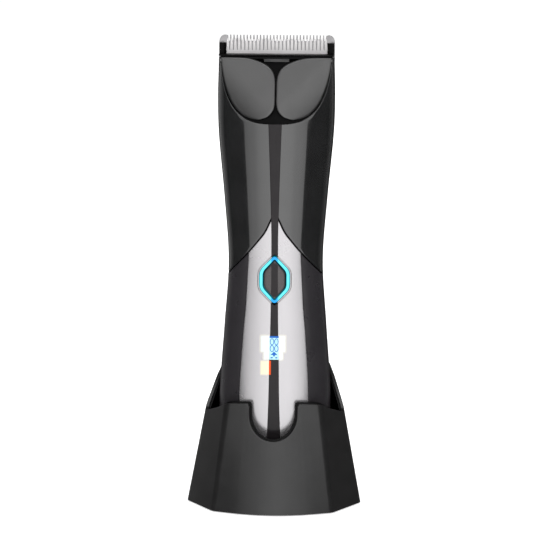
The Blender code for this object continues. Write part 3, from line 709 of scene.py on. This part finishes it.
def head_mask():
    """Black face behind the two grey plates."""
    line = [(x, min(z, HEAD_Z)) for x, z in arc_line(0.08)]
    rings = [[(x, face_y(z, depth), z) for x, z in line] for depth in (3.5, 4.2)]
    obj = make_mesh("head_mask_face", *loft_rings(rings), sharp=30)
    place(obj, "handpiece", "head_black", "head_mask")
    section = ((-0.75, 2.0), (-0.68, 0.6), (-0.1, 0.5), (0, 0.65), (0, 3.4))
    verts = [(x, face_y(HEAD_Z + rise, depth), HEAD_Z + rise) for x in (-19.6, 19.6) for rise, depth in section]
    rail = make_mesh("head_top_rail", verts, grid_faces(2, len(section)), sharp=60)
    place(rail, "handpiece", "head_black")


def smooth_loop(points, steps):
    """Closed Catmull-Rom curve."""
    loop = []
    count = len(points)
    for i in range(count):
        a, b, c, d = (points[(i + k) % count] for k in (-1, 0, 1, 2))
        for j in range(steps):
            t = j / steps
            loop.append(tuple(
                0.5 * (2 * b[k] + (c[k] - a[k]) * t + (2 * a[k] - 5 * b[k] + 4 * c[k] - d[k]) * t**2
                       + (3 * b[k] - a[k] - 3 * c[k] + d[k]) * t**3)
                for k in (0, 1)
            ))
    return loop


def head_plates():
    """Two smooth grey plates side by side, each with a rounded rim."""
    inner = [(0.2, 149.6), (0.2, 153.0), (0.2, 156.5), (0.4, 158.4), (1.05, 160.3)]
    inner += [(2.3, 161.9), (4.3, 163.2), (6.9, 164.3), (10.5, 165.2)]
    lower = [(4.4, 143.95), (3.0, 144.5), (1.6, 145.7), (0.6, 147.4)]
    edge = [(x, z) for x, z in arc_line(0.22) if x > 6.0 and z < HEAD_Z - 0.6][::5]
    edge = [(x, z + 1.6 * max(1 - x / 13.0, 0.0) ** 1.1) for x, z in edge]
    corner = [(20.1, 165.2), (19.5, 165.42), (15.0, 165.45)]
    outline = smooth_loop(inner + corner[::-1] + edge[::-1] + lower, 6)
    middle = (9.8, 156.0)

    def ring(narrower, share, drop):
        points = []
        for x, z in outline:
            kept = share - narrower / math.hypot(x - middle[0], z - middle[1])
            px, pz = lerp(middle[0], x, kept), lerp(middle[1], z, kept)
            points.append((px, face_y(pz, dish(px, pz) + drop), pz))
        return points

    rim = ((0.0, 2.1), (0.0, 0.35), (0.05, 0.2), (0.12, 0.11), (0.22, 0.04), (0.35, 0.0))
    rings = [ring(narrower, 1, drop) for narrower, drop in rim]
    rings += [ring(0.0, share, 0.0) for share in (0.9, 0.78, 0.66, 0.54, 0.42, 0.3, 0.18, 0.08)]
    right = loft_rings(rings, cap_low=False)
    for name, part in (("head_plate_right", right), ("head_plate_left", mirrored(right))):
        obj = make_mesh(name + "_skin", *part, sharp=50)
        place(obj, "handpiece", "head_grey", name)


def rear_shell():
    """Back half, with the notch for the blade cassette in its top edge."""
    notch_half, notch_z = 18.9, 162.2

    def top(angle):
        x, y, _ = girth(angle, 164.0, 0)
        return notch_z if abs(x) < notch_half and y > 1.2 else HEAD_Z

    step = next(tenth / 10 for tenth in range(900, 1800) if top(tenth / 10) < HEAD_Z)
    side = spread(90 + SEAM_GAP, step - 0.05, 14)
    back = [step + (180 - step) * (i / 46) for i in range(47)]
    angles = side + back
    angles = angles + [360 - angle for angle in reversed(angles[:-1])]
    middle = [(share, 0.0) for share in spread(0, 1, 90)[1:-1]]
    rows = [(0.0, 2.0), (0.0, 0.25), *middle, (1.0, 0.25), (1.0, 2.0)]
    verts = [girth(angle, lerp(SHELL_Z, top(angle), share), inset) for share, inset in rows for angle in angles]
    obj = make_mesh("rear_shell_skin", verts, grid_faces(len(rows), len(angles)), sharp=40)
    place(obj, "handpiece", "grip_dark", "rear_shell", look="grip_rear")


def seam_band():
    """Thin dark seal that shows in the seam between the front covers and the back."""
    parts = []
    for side in (-1, 1):
        rings = []
        for z in spread(SHELL_Z, HEAD_Z - 0.3, 60):
            outer, inner = (side * (along(HALF_WIDTH, z) - inset) for inset in (0.16, 2.2))
            rings.append([(outer, -0.3, z), (outer, 0.3, z), (inner, 0.3, z), (inner, -0.3, z)])
        parts.append(loft_rings(rings))
    obj = make_mesh("seam_band", *merge(*parts), sharp=40)
    place(obj, "handpiece", "head_black", look="foot_rubber")


def bottom_cap():
    """Rounded cap with the two gold charging contacts let into it."""
    angles = spread(0, 360 - 2.5, 144)
    radius = 1.4
    steps = [(BOTTOM_Z + radius * (1 - rise), radius * drop) for drop, rise in arc(90, 75, 60, 45, 30, 15, 0)]
    steps += [(SHELL_Z - 0.12, 0.0), (SHELL_Z - 0.02, 0.12), (SHELL_Z - 0.02, 1.5)]
    rings = [[girth(angle, z, inset) for angle in angles] for z, inset in steps]
    obj = make_mesh("bottom_cap_skin", *loft_rings(rings), sharp=40)
    place(obj, "handpiece", "grip_dark", look="grip_rear")
    section = ((2.9, -0.02), (2.9, -0.06), (2.3, -0.06), (2.3, 0.6), (0.01, 0.6))
    for name, middle in (("left", -5), ("right", 5)):
        rings = [[(x, y, BOTTOM_Z + rise) for x, y in oval(middle, 0, r, r)] for r, rise in section]
        pad = make_mesh("contact_pad_" + name, *loft_rings(rings, False, True), sharp=40)
        place(pad, "handpiece", "contact_gold")


# ---------------------------------------------------------------- button and display


def hex_line(sizes, corner, tip, count=10):
    """Upright hexagon with rounded corners, as (x, z); tip is the rounding of the top and bottom ones."""
    half, height, side = sizes
    corners = [(0, -height), (half, -side), (half, side), (0, height), (-half, side), (-half, -side)]
    line = []
    for i, (x, z) in enumerate(corners):
        before, after = corners[i - 1], corners[(i + 1) % 6]
        back = (before[0] - x, before[1] - z)
        ahead = (after[0] - x, after[1] - z)
        rounding = tip if i in (0, 3) else corner
        reach_b = rounding / math.hypot(*back)
        reach_a = rounding / math.hypot(*ahead)
        for j in range(count):
            t = j / (count - 1)
            line.append((
                x + back[0] * reach_b * (1 - t) ** 2 + ahead[0] * reach_a * t**2,
                z + back[1] * reach_b * (1 - t) ** 2 + ahead[1] * reach_a * t**2 + BUTTON_Z,
            ))
    return line


def to_line(point, line):
    """Distance from a point to a closed line of (x, z) points."""
    nearest = math.inf
    for a, b in zip(line, line[1:] + line[:1]):
        run = (b[0] - a[0], b[1] - a[1])
        length = math.hypot(*run) or 1.0
        t = ((point[0] - a[0]) * run[0] + (point[1] - a[1]) * run[1]) / length**2
        t = min(max(t, 0.0), 1.0)
        nearest = min(nearest, math.hypot(a[0] + run[0] * t - point[0], a[1] + run[1] * t - point[1]))
    return nearest


def between(a, b, share):
    return lerp(a[0], b[0], share), lerp(a[1], b[1], share)


def light_ring():
    """Lit ring round the button: cyan along its crown and dark blue along both edges."""
    outer = hex_line(RING_HEX, 1.9, 1.5)
    bore = hex_line(RING_BORE, 1.3, 0.5)
    rise = ((0.0, 3.3), (0.0, 0.3), (0.06, 0.12), (0.16, 0.02), (0.32, -0.05), (0.5, -0.08))
    profile = (*rise, *[(1 - share, inset) for share, inset in reversed(rise[:-1])])
    rings = [[front(*between(a, b, share), inset) for a, b in zip(outer, bore)] for share, inset in profile]
    obj = make_mesh("light_ring_guide", *loft_rings(rings, False, False), sharp=60)
    place(obj, "handpiece", "ring_light", "light_ring")
    obj.data.materials.append(LOOKS["ring_edge"])
    for face in obj.data.polygons:
        middle = (face.center.x / MM, face.center.z / MM)
        if to_line(middle, bore) < 0.24 or to_line(middle, outer) < 0.1:
            face.material_index = 1


def ring_collars():
    """Silver border between each panel and the light ring."""
    edge = hex_line((COLLAR_HEX[0] - 0.1, COLLAR_HEX[1] - 0.1, COLLAR_HEX[2]), 2.1, 2.1, 14)
    outer = hex_line((RING_HEX[0] + 0.08, RING_HEX[1] + 0.08, RING_HEX[2]), 1.9, 1.5, 14)
    section = ((0, 1.2), (0, 0.12), (0.12, 0.02), (0.25, 0), (0.8, 0), (0.92, 0.05), (1, 0.2), (1, 1.2))
    pairs = sorted((a[1], a, b) for a, b in zip(edge, outer) if a[0] >= 0)
    columns = []
    for (_, a0, b0), (_, a1, b1) in zip(pairs, pairs[1:]):
        columns += [(between(a0, a1, t), between(b0, b1, t)) for t in (0, 0.25, 0.5, 0.75)]
    columns = [(a, b) for a, b in columns if a[0] > along(SPINE, BUTTON_Z) + 0.15]
    verts = [front(*between(a, b, share), inset) for share, inset in section for a, b in columns]
    faces = grid_faces(len(section), len(columns))
    for name, side in (("ring_collar_left", -1), ("ring_collar_right", 1)):
        half = [(side * x, y, z) for x, y, z in verts]
        place(make_mesh(name, half, faces, sharp=60), "handpiece", "silver_coat")


def power_button():
    """Crowned cap and the dark inlay that carries the spine across it."""
    line = hex_line(BUTTON_HEX, 1.2, 0.5)
    rings = []
    rim = ((1.0, 1.2), (1.0, -0.05), (0.985, -0.2), (0.955, -0.3), (0.91, -0.36), (0.84, -0.4))
    inner = [(share, -0.4 - 0.05 * (1 - share)) for share in (0.7, 0.55, 0.4, 0.25, 0.12, 0.03)]
    for share, inset in (*rim, *inner):
        rings.append([front(x * share, BUTTON_Z + (z - BUTTON_Z) * share, inset) for x, z in line])
    obj = make_mesh("power_button_cap", *loft_rings(rings, False, True), sharp=60)
    place(obj, "button", "button_grey", "power_button")

    def point(u, v, inset):
        side = u * 2 - 1
        low = BUTTON_Z - BUTTON_HEX[1] + 0.9
        z = lerp(low, 2 * BUTTON_Z - low, v)
        x = side * min(along(SPINE, z), hex_half(BUTTON_HEX, z) - 0.35)
        return front(x, z, inset - 0.47)

    strip = make_mesh("button_inlay", *panel_mesh(point, (2.4, 12), 0.06, (6, 30), 0.3), sharp=50)
    place(strip, "button", "spine_gloss", "button_strip")


def stroke(points, width, lift):
    """Flat lit line along (x, z) points on the front surface."""
    left, right = [], []
    for i, (x, z) in enumerate(points):
        before, after = points[max(i - 1, 0)], points[min(i + 1, len(points) - 1)]
        dx, dz = after[0] - before[0], after[1] - before[1]
        length = math.hypot(dx, dz) or 1.0
        nx, nz = -dz / length * width / 2, dx / length * width / 2
        left.append(front(x + nx, z + nz, -lift))
        right.append(front(x - nx, z - nz, -lift))
    return left + right, grid_faces(2, len(points))


def patch(points, lift):
    """Flat lit shape: a fan of (x, z) points on the front surface."""
    x = sum(p[0] for p in points) / len(points)
    z = sum(p[1] for p in points) / len(points)
    verts = [front(x, z, -lift)] + [front(px, pz, -lift) for px, pz in points]
    count = len(points)
    return verts, [(0, 1 + i, 1 + (i + 1) % count) for i in range(count)]


def corners(left, right, low, high):
    return [(left, low), (right, low), (right, high), (left, high)]


def display():
    """Lit window with four blue loops, a small symbol and the orange charge light, in the dark strip."""
    edge = along(SPINE, 60) + 0.1
    window_low, window_high, cap_high = 55.4, 63.4, 64.1
    lit = patch(corners(-edge, edge, window_low, window_high), 0.03)
    ground = make_mesh("display_ground", *lit, sharp=60, flat=True)
    place(ground, "handpiece", "display_lens", "display_module", look="display_white")
    cap = patch(corners(-edge, edge, window_high, cap_high), 0.03)
    half_arrow = [(0.32, 56.6), (0.32, 57.2), (1.3, 57.1)]
    arrow = patch([(-x, z) for x, z in reversed(half_arrow)] + half_arrow + [(0, 58.4)], 0.05)
    feet = [patch(corners(x - 0.4, x + 0.4, 55.9, 56.3), 0.05) for x in (-0.85, 0.85)]
    loops = [oval(x, z, 0.66, 1.12) for x in (-0.78, 0.84) for z in (62.0, 59.5)]
    figures = [stroke(loop + loop[:1], 0.25, 0.05) for loop in loops]
    drawn = make_mesh("display_figures", *merge(cap, arrow, *feet, *figures), sharp=60, flat=True)
    place(drawn, "handpiece", "display_lens", look="display_blue")
    edge = along(SPINE, 52)
    bar = patch(corners(-edge - 0.1, -edge + 0.62, 49.8, 55.0), 0.03)
    charge = make_mesh("display_charge_light", *bar, sharp=60, flat=True)
    place(charge, "handpiece", "display_lens", look="display_orange")


# ---------------------------------------------------------------- blades


def comb_line(half, root, tip, pitch, teeth, guard):
    """Top outline of a comb from left to right, with a wide round guard tooth at each end or none."""
    reach = pitch * teeth / 2 + 0.25
    if guard:
        turns = arc(0, 15, 30, 45, 60, 75, 90)
        end = [(-half + 2.2 * drop, tip - 2.6 * (1 - rise)) for drop, rise in turns]
        end += [(-reach - 0.12, tip - 0.2), (-reach - 0.02, tip - 0.9), (-reach, root)]
        flank = ((0.32, 0.0), (0.24, 0.12), (0.15, 0.94), (0.07, 1.0))
    else:
        end = [(-half, root)]
        flank = ((0.42, 0.0), (0.39, 0.06), (0.24, 0.95), (0.14, 1.0))
    points = list(end)
    for i in range(teeth):
        x = (i - (teeth - 1) / 2) * pitch
        points += [(x - share * pitch, lerp(root, tip, height)) for share, height in flank]
        points += [(x + share * pitch, lerp(root, tip, height)) for share, height in reversed(flank)]
    return points + [(-x, z) for x, z in reversed(end)]


def comb_plate(name, top, low, y_low, y_high, width=0.06):
    """Comb of even thickness between its top outline and a straight lower edge."""
    count = len(top)
    verts = [(x, y, z) for y in (y_low, y_high) for x, z in top]
    verts += [(x, y, low) for y in (y_low, y_high) for x, _ in top]
    faces = []
    for i in range(count - 1):
        a, b, c, d = i, i + count, i + 2 * count, i + 3 * count
        faces += [(a, a + 1, c + 1, c), (b, d, d + 1, b + 1), (a, b, b + 1, a + 1), (c, c + 1, d + 1, d)]
    faces += [(0, 2 * count, 3 * count, count), (count - 1, 2 * count - 1, 4 * count - 1, 3 * count - 1)]
    obj = make_mesh(name, verts, faces, sharp=30)
    bevel = obj.modifiers.new("soft edges", "BEVEL")
    bevel.width = width * MM
    bevel.segments = 2
    bevel.limit_method = "ANGLE"
    bevel.angle_limit = math.radians(35)
    bevel.harden_normals = True
    return obj


def blades():
    """Steel comb, ceramic moving blade with its foot, and the black cheeks beside them."""
    fixed_low, foot_top, foot_low = 163.6, 166.25, 162.6
    moving_y = (-1.1, -0.1)
    top = comb_line(21.1, FIXED_ROOT, TIP_Z, 1.21, 29, True)
    fixed = comb_plate("fixed_comb", top, fixed_low, 0.2, 1.2)
    place(fixed, "cassette", "blade_steel", "fixed_blade")
    top = comb_line(18.3, MOVING_ROOT, MOVING_TIP, 1.375, 27, False)
    moving = comb_plate("moving_comb", top, foot_top - 0.05, *moving_y)
    place(moving, "cutter", "blade_ceramic", "moving_blade")
    shoe = comb_plate("moving_comb_foot", [(-17.5, foot_top), (17.5, foot_top)], foot_low, *moving_y)
    place(shoe, "cutter", "blade_ceramic")
    for name, ends in (("left", (-20.9, -17.6)), ("right", (17.6, 20.9))):
        cheek = comb_plate("cassette_cheek_" + name, [(x, 170.2) for x in ends], 165.9, 0.0, 0.19, 0.04)
        place(cheek, "cassette", "head_black")


# ---------------------------------------------------------------- dock


def unit(x, y):
    length = math.hypot(x, y)
    return x / length, y / length


def dock_plan(z, inset):
    """Plan of the dock at a height, as in the CAD, from the middle of the front round to the left."""
    steps = 12
    t = (z - DOCK_FLOOR) / (DOCK_TOP - DOCK_FLOOR)
    right = [between(a, b, t) for a, b in zip(DOCK_LOW, DOCK_HIGH)]
    corners = right + [(-x, y) for x, y in reversed(right[1:])]
    radii = list(DOCK_RADII) + list(reversed(DOCK_RADII[1:]))
    count = len(corners)
    moved = []
    for i, (x, y) in enumerate(corners):
        before, after = corners[i - 1], corners[(i + 1) % count]
        first = unit(x - before[0], y - before[1])
        second = unit(after[0] - x, after[1] - y)
        bend = unit(-first[1] - second[1], first[0] + second[0])
        grow = inset / max(bend[0] * -first[1] + bend[1] * first[0], 0.3)
        moved.append((x + bend[0] * grow, y + bend[1] * grow))
    points = []
    for i, (x, y) in enumerate(moved):
        before, after = moved[i - 1], moved[(i + 1) % count]
        back = unit(before[0] - x, before[1] - y)
        ahead = unit(after[0] - x, after[1] - y)
        turn = math.acos(max(-1, min(1, back[0] * ahead[0] + back[1] * ahead[1])))
        shorter = min(math.dist(before, (x, y)), math.dist((x, y), after))
        reach = min(radii[i] / math.tan(turn / 2), (0.7 if radii[i] > 100 else 0.4) * shorter)
        for j in range(steps + 1):
            s = j / steps
            a, b = (1 - s) ** 2 * reach, s**2 * reach
            points.append((x + back[0] * a + ahead[0] * b, y + back[1] * a + ahead[1] * b))
    middle = steps // 2
    return points[middle:] + points[:middle]


PLAN_CACHE = {}


def dock_point(p, z, inset):
    """Point of the dock wall; p runs from 0 at the middle of the front to 1 once round, evenly by index."""
    key = (round(z, 3), inset)
    if key not in PLAN_CACHE:
        PLAN_CACHE[key] = dock_plan(z, inset)
    points = PLAN_CACHE[key]
    spot = (p % 1.0) * len(points)
    i = int(spot) % len(points)
    return *between(points[i], points[(i + 1) % len(points)], spot - int(spot)), z


def p_of_x(x, z):
    """Where on the right half of the front a given x lies."""
    low, high = 0.0, 0.14
    for _ in range(30):
        middle = (low + high) / 2
        if dock_point(middle, z, 0)[0] < x:
            low = middle
        else:
            high = middle
    return low


def rim_line(rim, half, low):
    """Right half of a rim, from the bottom of the front notch to the middle of the back, as (p, z)."""
    line = []
    for drop, rise in arc(*spread(0, 90, 20)):
        z = low + CUTOUT_BOWL * drop
        line.append((p_of_x(half * rise, z), z))
    corner_z = along(rim, dock_point(p_of_x(half + 1.0, 39), 39, 0)[1])
    for z in spread(low + CUTOUT_BOWL + 0.6, corner_z - 1.0, 5):
        line.append((p_of_x(half + 0.02 * (z - 36), z), z))
    for drop, rise in arc(15, 35, 55, 75, 90):
        z = corner_z - 1.0 + rise
        line.append((p_of_x(half + 0.1 + drop, z), z))
    for p in spread(line[-1][0], 0.5, 90)[1:]:
        z = 42.0
        for _ in range(60):
            z = lerp(z, along(rim, dock_point(p, z, 0)[1]), 0.3)
        line.append((p, z))
    return line


def wrap_lerp(a, b, t):
    """Between two places on the dock's wall, the short way round."""
    if abs(a - b) > 0.5:
        a += 1 if a < b else -1
    return lerp(a, b, t)


def dock_wall(line, outer, inner, low, inner_low, soft):
    """Both faces of a wall with a rounded rim."""
    rows = 40
    lengths = [0.0]
    for (pa, za), (pb, zb) in zip(line, line[1:]):
        a, b = dock_point(pa, za, 0), dock_point(pb, zb, 0)
        lengths.append(lengths[-1] + math.dist(a, b))
    base = [lerp(0.5 * length / lengths[-1], p, 0.45) for length, (p, z) in zip(lengths, line)]
    columns = [(b, p, z) for b, (p, z) in zip(base, line)]
    columns += [(1 - b, 1 - p, z) for b, p, z in reversed(columns[1:-1])]
    verts = []

    def wall_row(share, bottom, inset):
        for b, p, top in columns:
            verts.append(dock_point(wrap_lerp(b, p, share), lerp(bottom, top - soft, share), inset))

    for share in spread(0, 1, rows):
        wall_row(share, low, outer)
    for drop, rise in arc(22, 45, 68, 90):
        verts += [dock_point(p, top - soft + soft * rise, outer + soft * drop) for _, p, top in columns]
    for drop, rise in arc(0, 22, 45, 68, 90):
        verts += [dock_point(p, top - soft * drop, inner - soft + soft * rise) for _, p, top in columns]
    for share in spread(1, 0, rows // 2)[1:]:
        wall_row(share, inner_low, inner)
    wall_row(0, low, outer)
    count = len(columns)
    return verts, grid_faces(len(verts) // count, count, ring=True)


def dock_housing():
    """Flared outer wall with the notch in its front."""
    line = rim_line(RIM, CUTOUT_HALF, CUTOUT_Z)
    wall = dock_wall(line, 0.0, DOCK_WALL, DOCK_SKIRT, DOCK_SKIRT, 0.3)
    obj = make_mesh("dock_housing_skin", *wall, sharp=50)
    place(obj, "dock", "dock_satin", "dock_housing")


def dock_liner():
    """Black well inside the housing, a little proud of the notch, with a floor under the handpiece. The liner
    is a real part, but its near-black and its lip, raised proud of the notch and of the front rim, are partly
    painted shade in the well and in the gap round the handpiece.
    """
    floor = BOTTOM_Z - 0.3
    # The liner's notch, 0.5 mm narrower and 0.55 mm higher than the housing's, shows as a black band round it:
    # the liner's edge, partly painted shade along the notch.
    line = rim_line(LINER_RIM, CUTOUT_HALF - 0.5, CUTOUT_Z + 0.55)
    wall = dock_wall(line, DOCK_WALL + 0.04, 2.0, floor - 1.4, floor, 0.2)
    rings = [[(x, y, z) for x, y in dock_plan(z, 1.6)] for z in (floor - 1.4, floor)]
    obj = make_mesh("dock_liner_and_painted_shade", *merge(wall, loft_rings(rings)), sharp=50)
    place(obj, "dock", "dock_black", "dock_liner")


# ---------------------------------------------------------------- stage, lights, camera
# From here on, lengths are in metres.

AIM = (0, 0, 0.09)


def stage():
    mesh = bpy.data.meshes.new("floor")
    mesh.from_pydata([(-4, -4, 0), (4, -4, 0), (4, 6, 0), (-4, 6, 0)], [], [(0, 1, 2, 3)])
    floor = add_object("floor", mesh)
    material, shader = new_material("floor", (0.93, 0.93, 0.93), 0.6)
    shader.inputs["Emission Color"].default_value = (1, 1, 1, 1)
    shader.inputs["Emission Strength"].default_value = 0.55
    mesh.materials.append(material)
    floor.visible_glossy = False
    floor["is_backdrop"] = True


def point_at(obj, location, aim, roll=0.0):
    obj.location = location
    obj.rotation_mode = "QUATERNION"
    turn = (aim - location).to_track_quat("-Z", "Y")
    obj.rotation_quaternion = turn @ Quaternion((0, 0, 1), math.radians(roll))


def card(name, centre, outline, tones):
    """Large soft panel that only reflections see.

    outline is its (x, y) corners or its (width, height); tones are (share across, strength) steps.
    """
    if len(outline) == 2:
        w, h = outline[0] / 2, outline[1] / 2
        outline = ((-w, -h), (w, -h), (w, h), (-w, h))
    mesh = bpy.data.meshes.new(name)
    mesh.from_pydata([(x, y, 0) for x, y in outline], [], [tuple(range(len(outline)))])
    panel = add_object(name, mesh)
    point_at(panel, Vector(centre), Vector(AIM))
    material = bpy.data.materials.new(name)
    material.use_nodes = True
    material.node_tree.nodes.clear()
    out = node(material, "ShaderNodeOutputMaterial")
    glow = node(material, "ShaderNodeEmission")
    ramp = node(material, "ShaderNodeValToRGB")
    ramp.color_ramp.interpolation = "EASE"
    peak = max(strength for _, strength in tones)
    steps = ramp.color_ramp.elements
    while len(steps) < len(tones):
        steps.new(0.5)
    for step, (at, strength) in zip(steps, tones):
        step.position = at
        step.color = (strength / peak, strength / peak, strength / peak, 1)
    where = node(material, "ShaderNodeTexCoord")
    split = node(material, "ShaderNodeSeparateXYZ")
    link(material, where.outputs["Object"], split.inputs["Vector"])
    xs = [x for x, _ in outline]
    across = remap(material, split.outputs["X"], 0.0, 1.0, min(xs), max(xs))
    link(material, across, ramp.inputs["Fac"])
    link(material, ramp.outputs["Color"], glow.inputs["Color"])
    glow.inputs["Strength"].default_value = peak
    link(material, glow.outputs["Emission"], out.inputs["Surface"])
    mesh.materials.append(material)
    panel.visible_camera = False
    panel.visible_diffuse = False
    panel.visible_shadow = False
    panel.visible_transmission = False
    panel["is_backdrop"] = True


def lamp(name, location, size, power):
    """Soft lamp that reflections don't see."""
    light = bpy.data.lights.new(name, "AREA")
    light.shape = "RECTANGLE"
    light.size, light.size_y = size
    light.energy = power
    obj = add_object(name, light)
    point_at(obj, Vector(location), Vector(AIM))
    obj.visible_glossy = False


def lights():
    """Even studio light, darker in reflections, where the cards stand in for softboxes."""
    world = bpy.data.worlds.new("studio")
    bpy.context.scene.world = world
    world.use_nodes = True
    tree = world.node_tree
    back = tree.nodes["Background"]
    path = tree.nodes.new("ShaderNodeLightPath")
    glossy = tree.nodes.new("ShaderNodeMix")
    seen = tree.nodes.new("ShaderNodeMix")
    lighting, reflected, background = 0.6, 0.03, 1.0
    tree.links.new(path.outputs["Is Glossy Ray"], glossy.inputs[0])
    glossy.inputs[2].default_value = lighting
    glossy.inputs[3].default_value = reflected
    tree.links.new(path.outputs["Is Camera Ray"], seen.inputs[0])
    tree.links.new(glossy.outputs[0], seen.inputs[2])
    seen.inputs[3].default_value = background
    back.inputs["Color"].default_value = (1, 1, 1, 1)
    tree.links.new(seen.outputs[0], back.inputs["Strength"])
    lamp("key_left", (-0.9, -1.1, 1.0), (0.9, 0.9), 8)
    lamp("key_right", (0.9, -1.1, 0.9), (0.9, 0.9), 7)
    lamp("top", (0, 0.1, 1.4), (1.0, 1.0), 6)
    lamp("back", (0.3, 1.4, 0.7), (1.2, 1.2), 7)
    front_outline = (
        (-0.64, -1.2), (0.594, -1.2), (0.594, -0.115), (0.85, -0.06), (1.05, 0.34), (1.05, 1.2),
        (-0.8, 1.2), (-0.9, -0.06), (-0.64, -0.115),
    )
    front_tones = (
        (0, 0.95), (0.133, 0.95), (0.282, 1.2), (0.4, 1.75), (0.4615, 2.05), (0.513, 1.95), (0.59, 1.6),
        (0.764, 1.35), (1, 1.35),
    )
    card("front_card", (0, -1.2, 0.0), front_outline, front_tones)
    card("top_card", (0, -0.53, 1.25), (1.3, 0.62), ((0, 2.2), (0.5, 2.8), (1, 2.2)))
    card("side_card_left", (-1.3, 0.85, 0.2), (1.6, 2.0), ((0, 0.32), (0.5, 0.2), (1, 0.0)))
    card("side_card_right", (1.3, 0.85, 0.2), (1.4, 2.0), ((0, 0.0), (0.5, 0.06), (1, 0.12)))
    card("rear_card", (0, 1.5, 0.3), (0.7, 2.0), ((0, 0.05), (0.5, 0.1), (1, 0.05)))


def camera():
    """Long lens a little to the right of the front and a little above it, as in the photo."""
    data = bpy.data.cameras.new("camera")
    data.lens = 168
    data.sensor_width = 36
    obj = add_object("camera", data)
    azimuth, elevation, distance = math.radians(2.0), math.radians(10.0), 0.95
    aim = Vector((-0.0003, HAND_Y * MM, 0.0843))
    level = math.cos(elevation)
    back = Vector((math.sin(azimuth) * level, -math.cos(azimuth) * level, math.sin(elevation)))
    point_at(obj, aim + back * distance, aim, roll=0.3)
    data.clip_start, data.clip_end = 0.01, 50
    bpy.context.scene.camera = obj


make_looks()
repaint_cad()
upper_front_cover()
grip_sides()
shell_lining()
silver_panels()
spine()
head_mask()
head_plates()
rear_shell()
seam_band()
bottom_cap()
light_ring()
ring_collars()
power_button()
display()
blades()
dock_housing()
dock_liner()
stage()
lights()
camera()
bpy.context.scene.view_settings.view_transform = "Standard"
SEEN_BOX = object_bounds()
boxes = {"cad": CAD_BOX, "visual": SEEN_BOX}
{name: [list(corner) for corner in box] for name, box in boxes.items()}
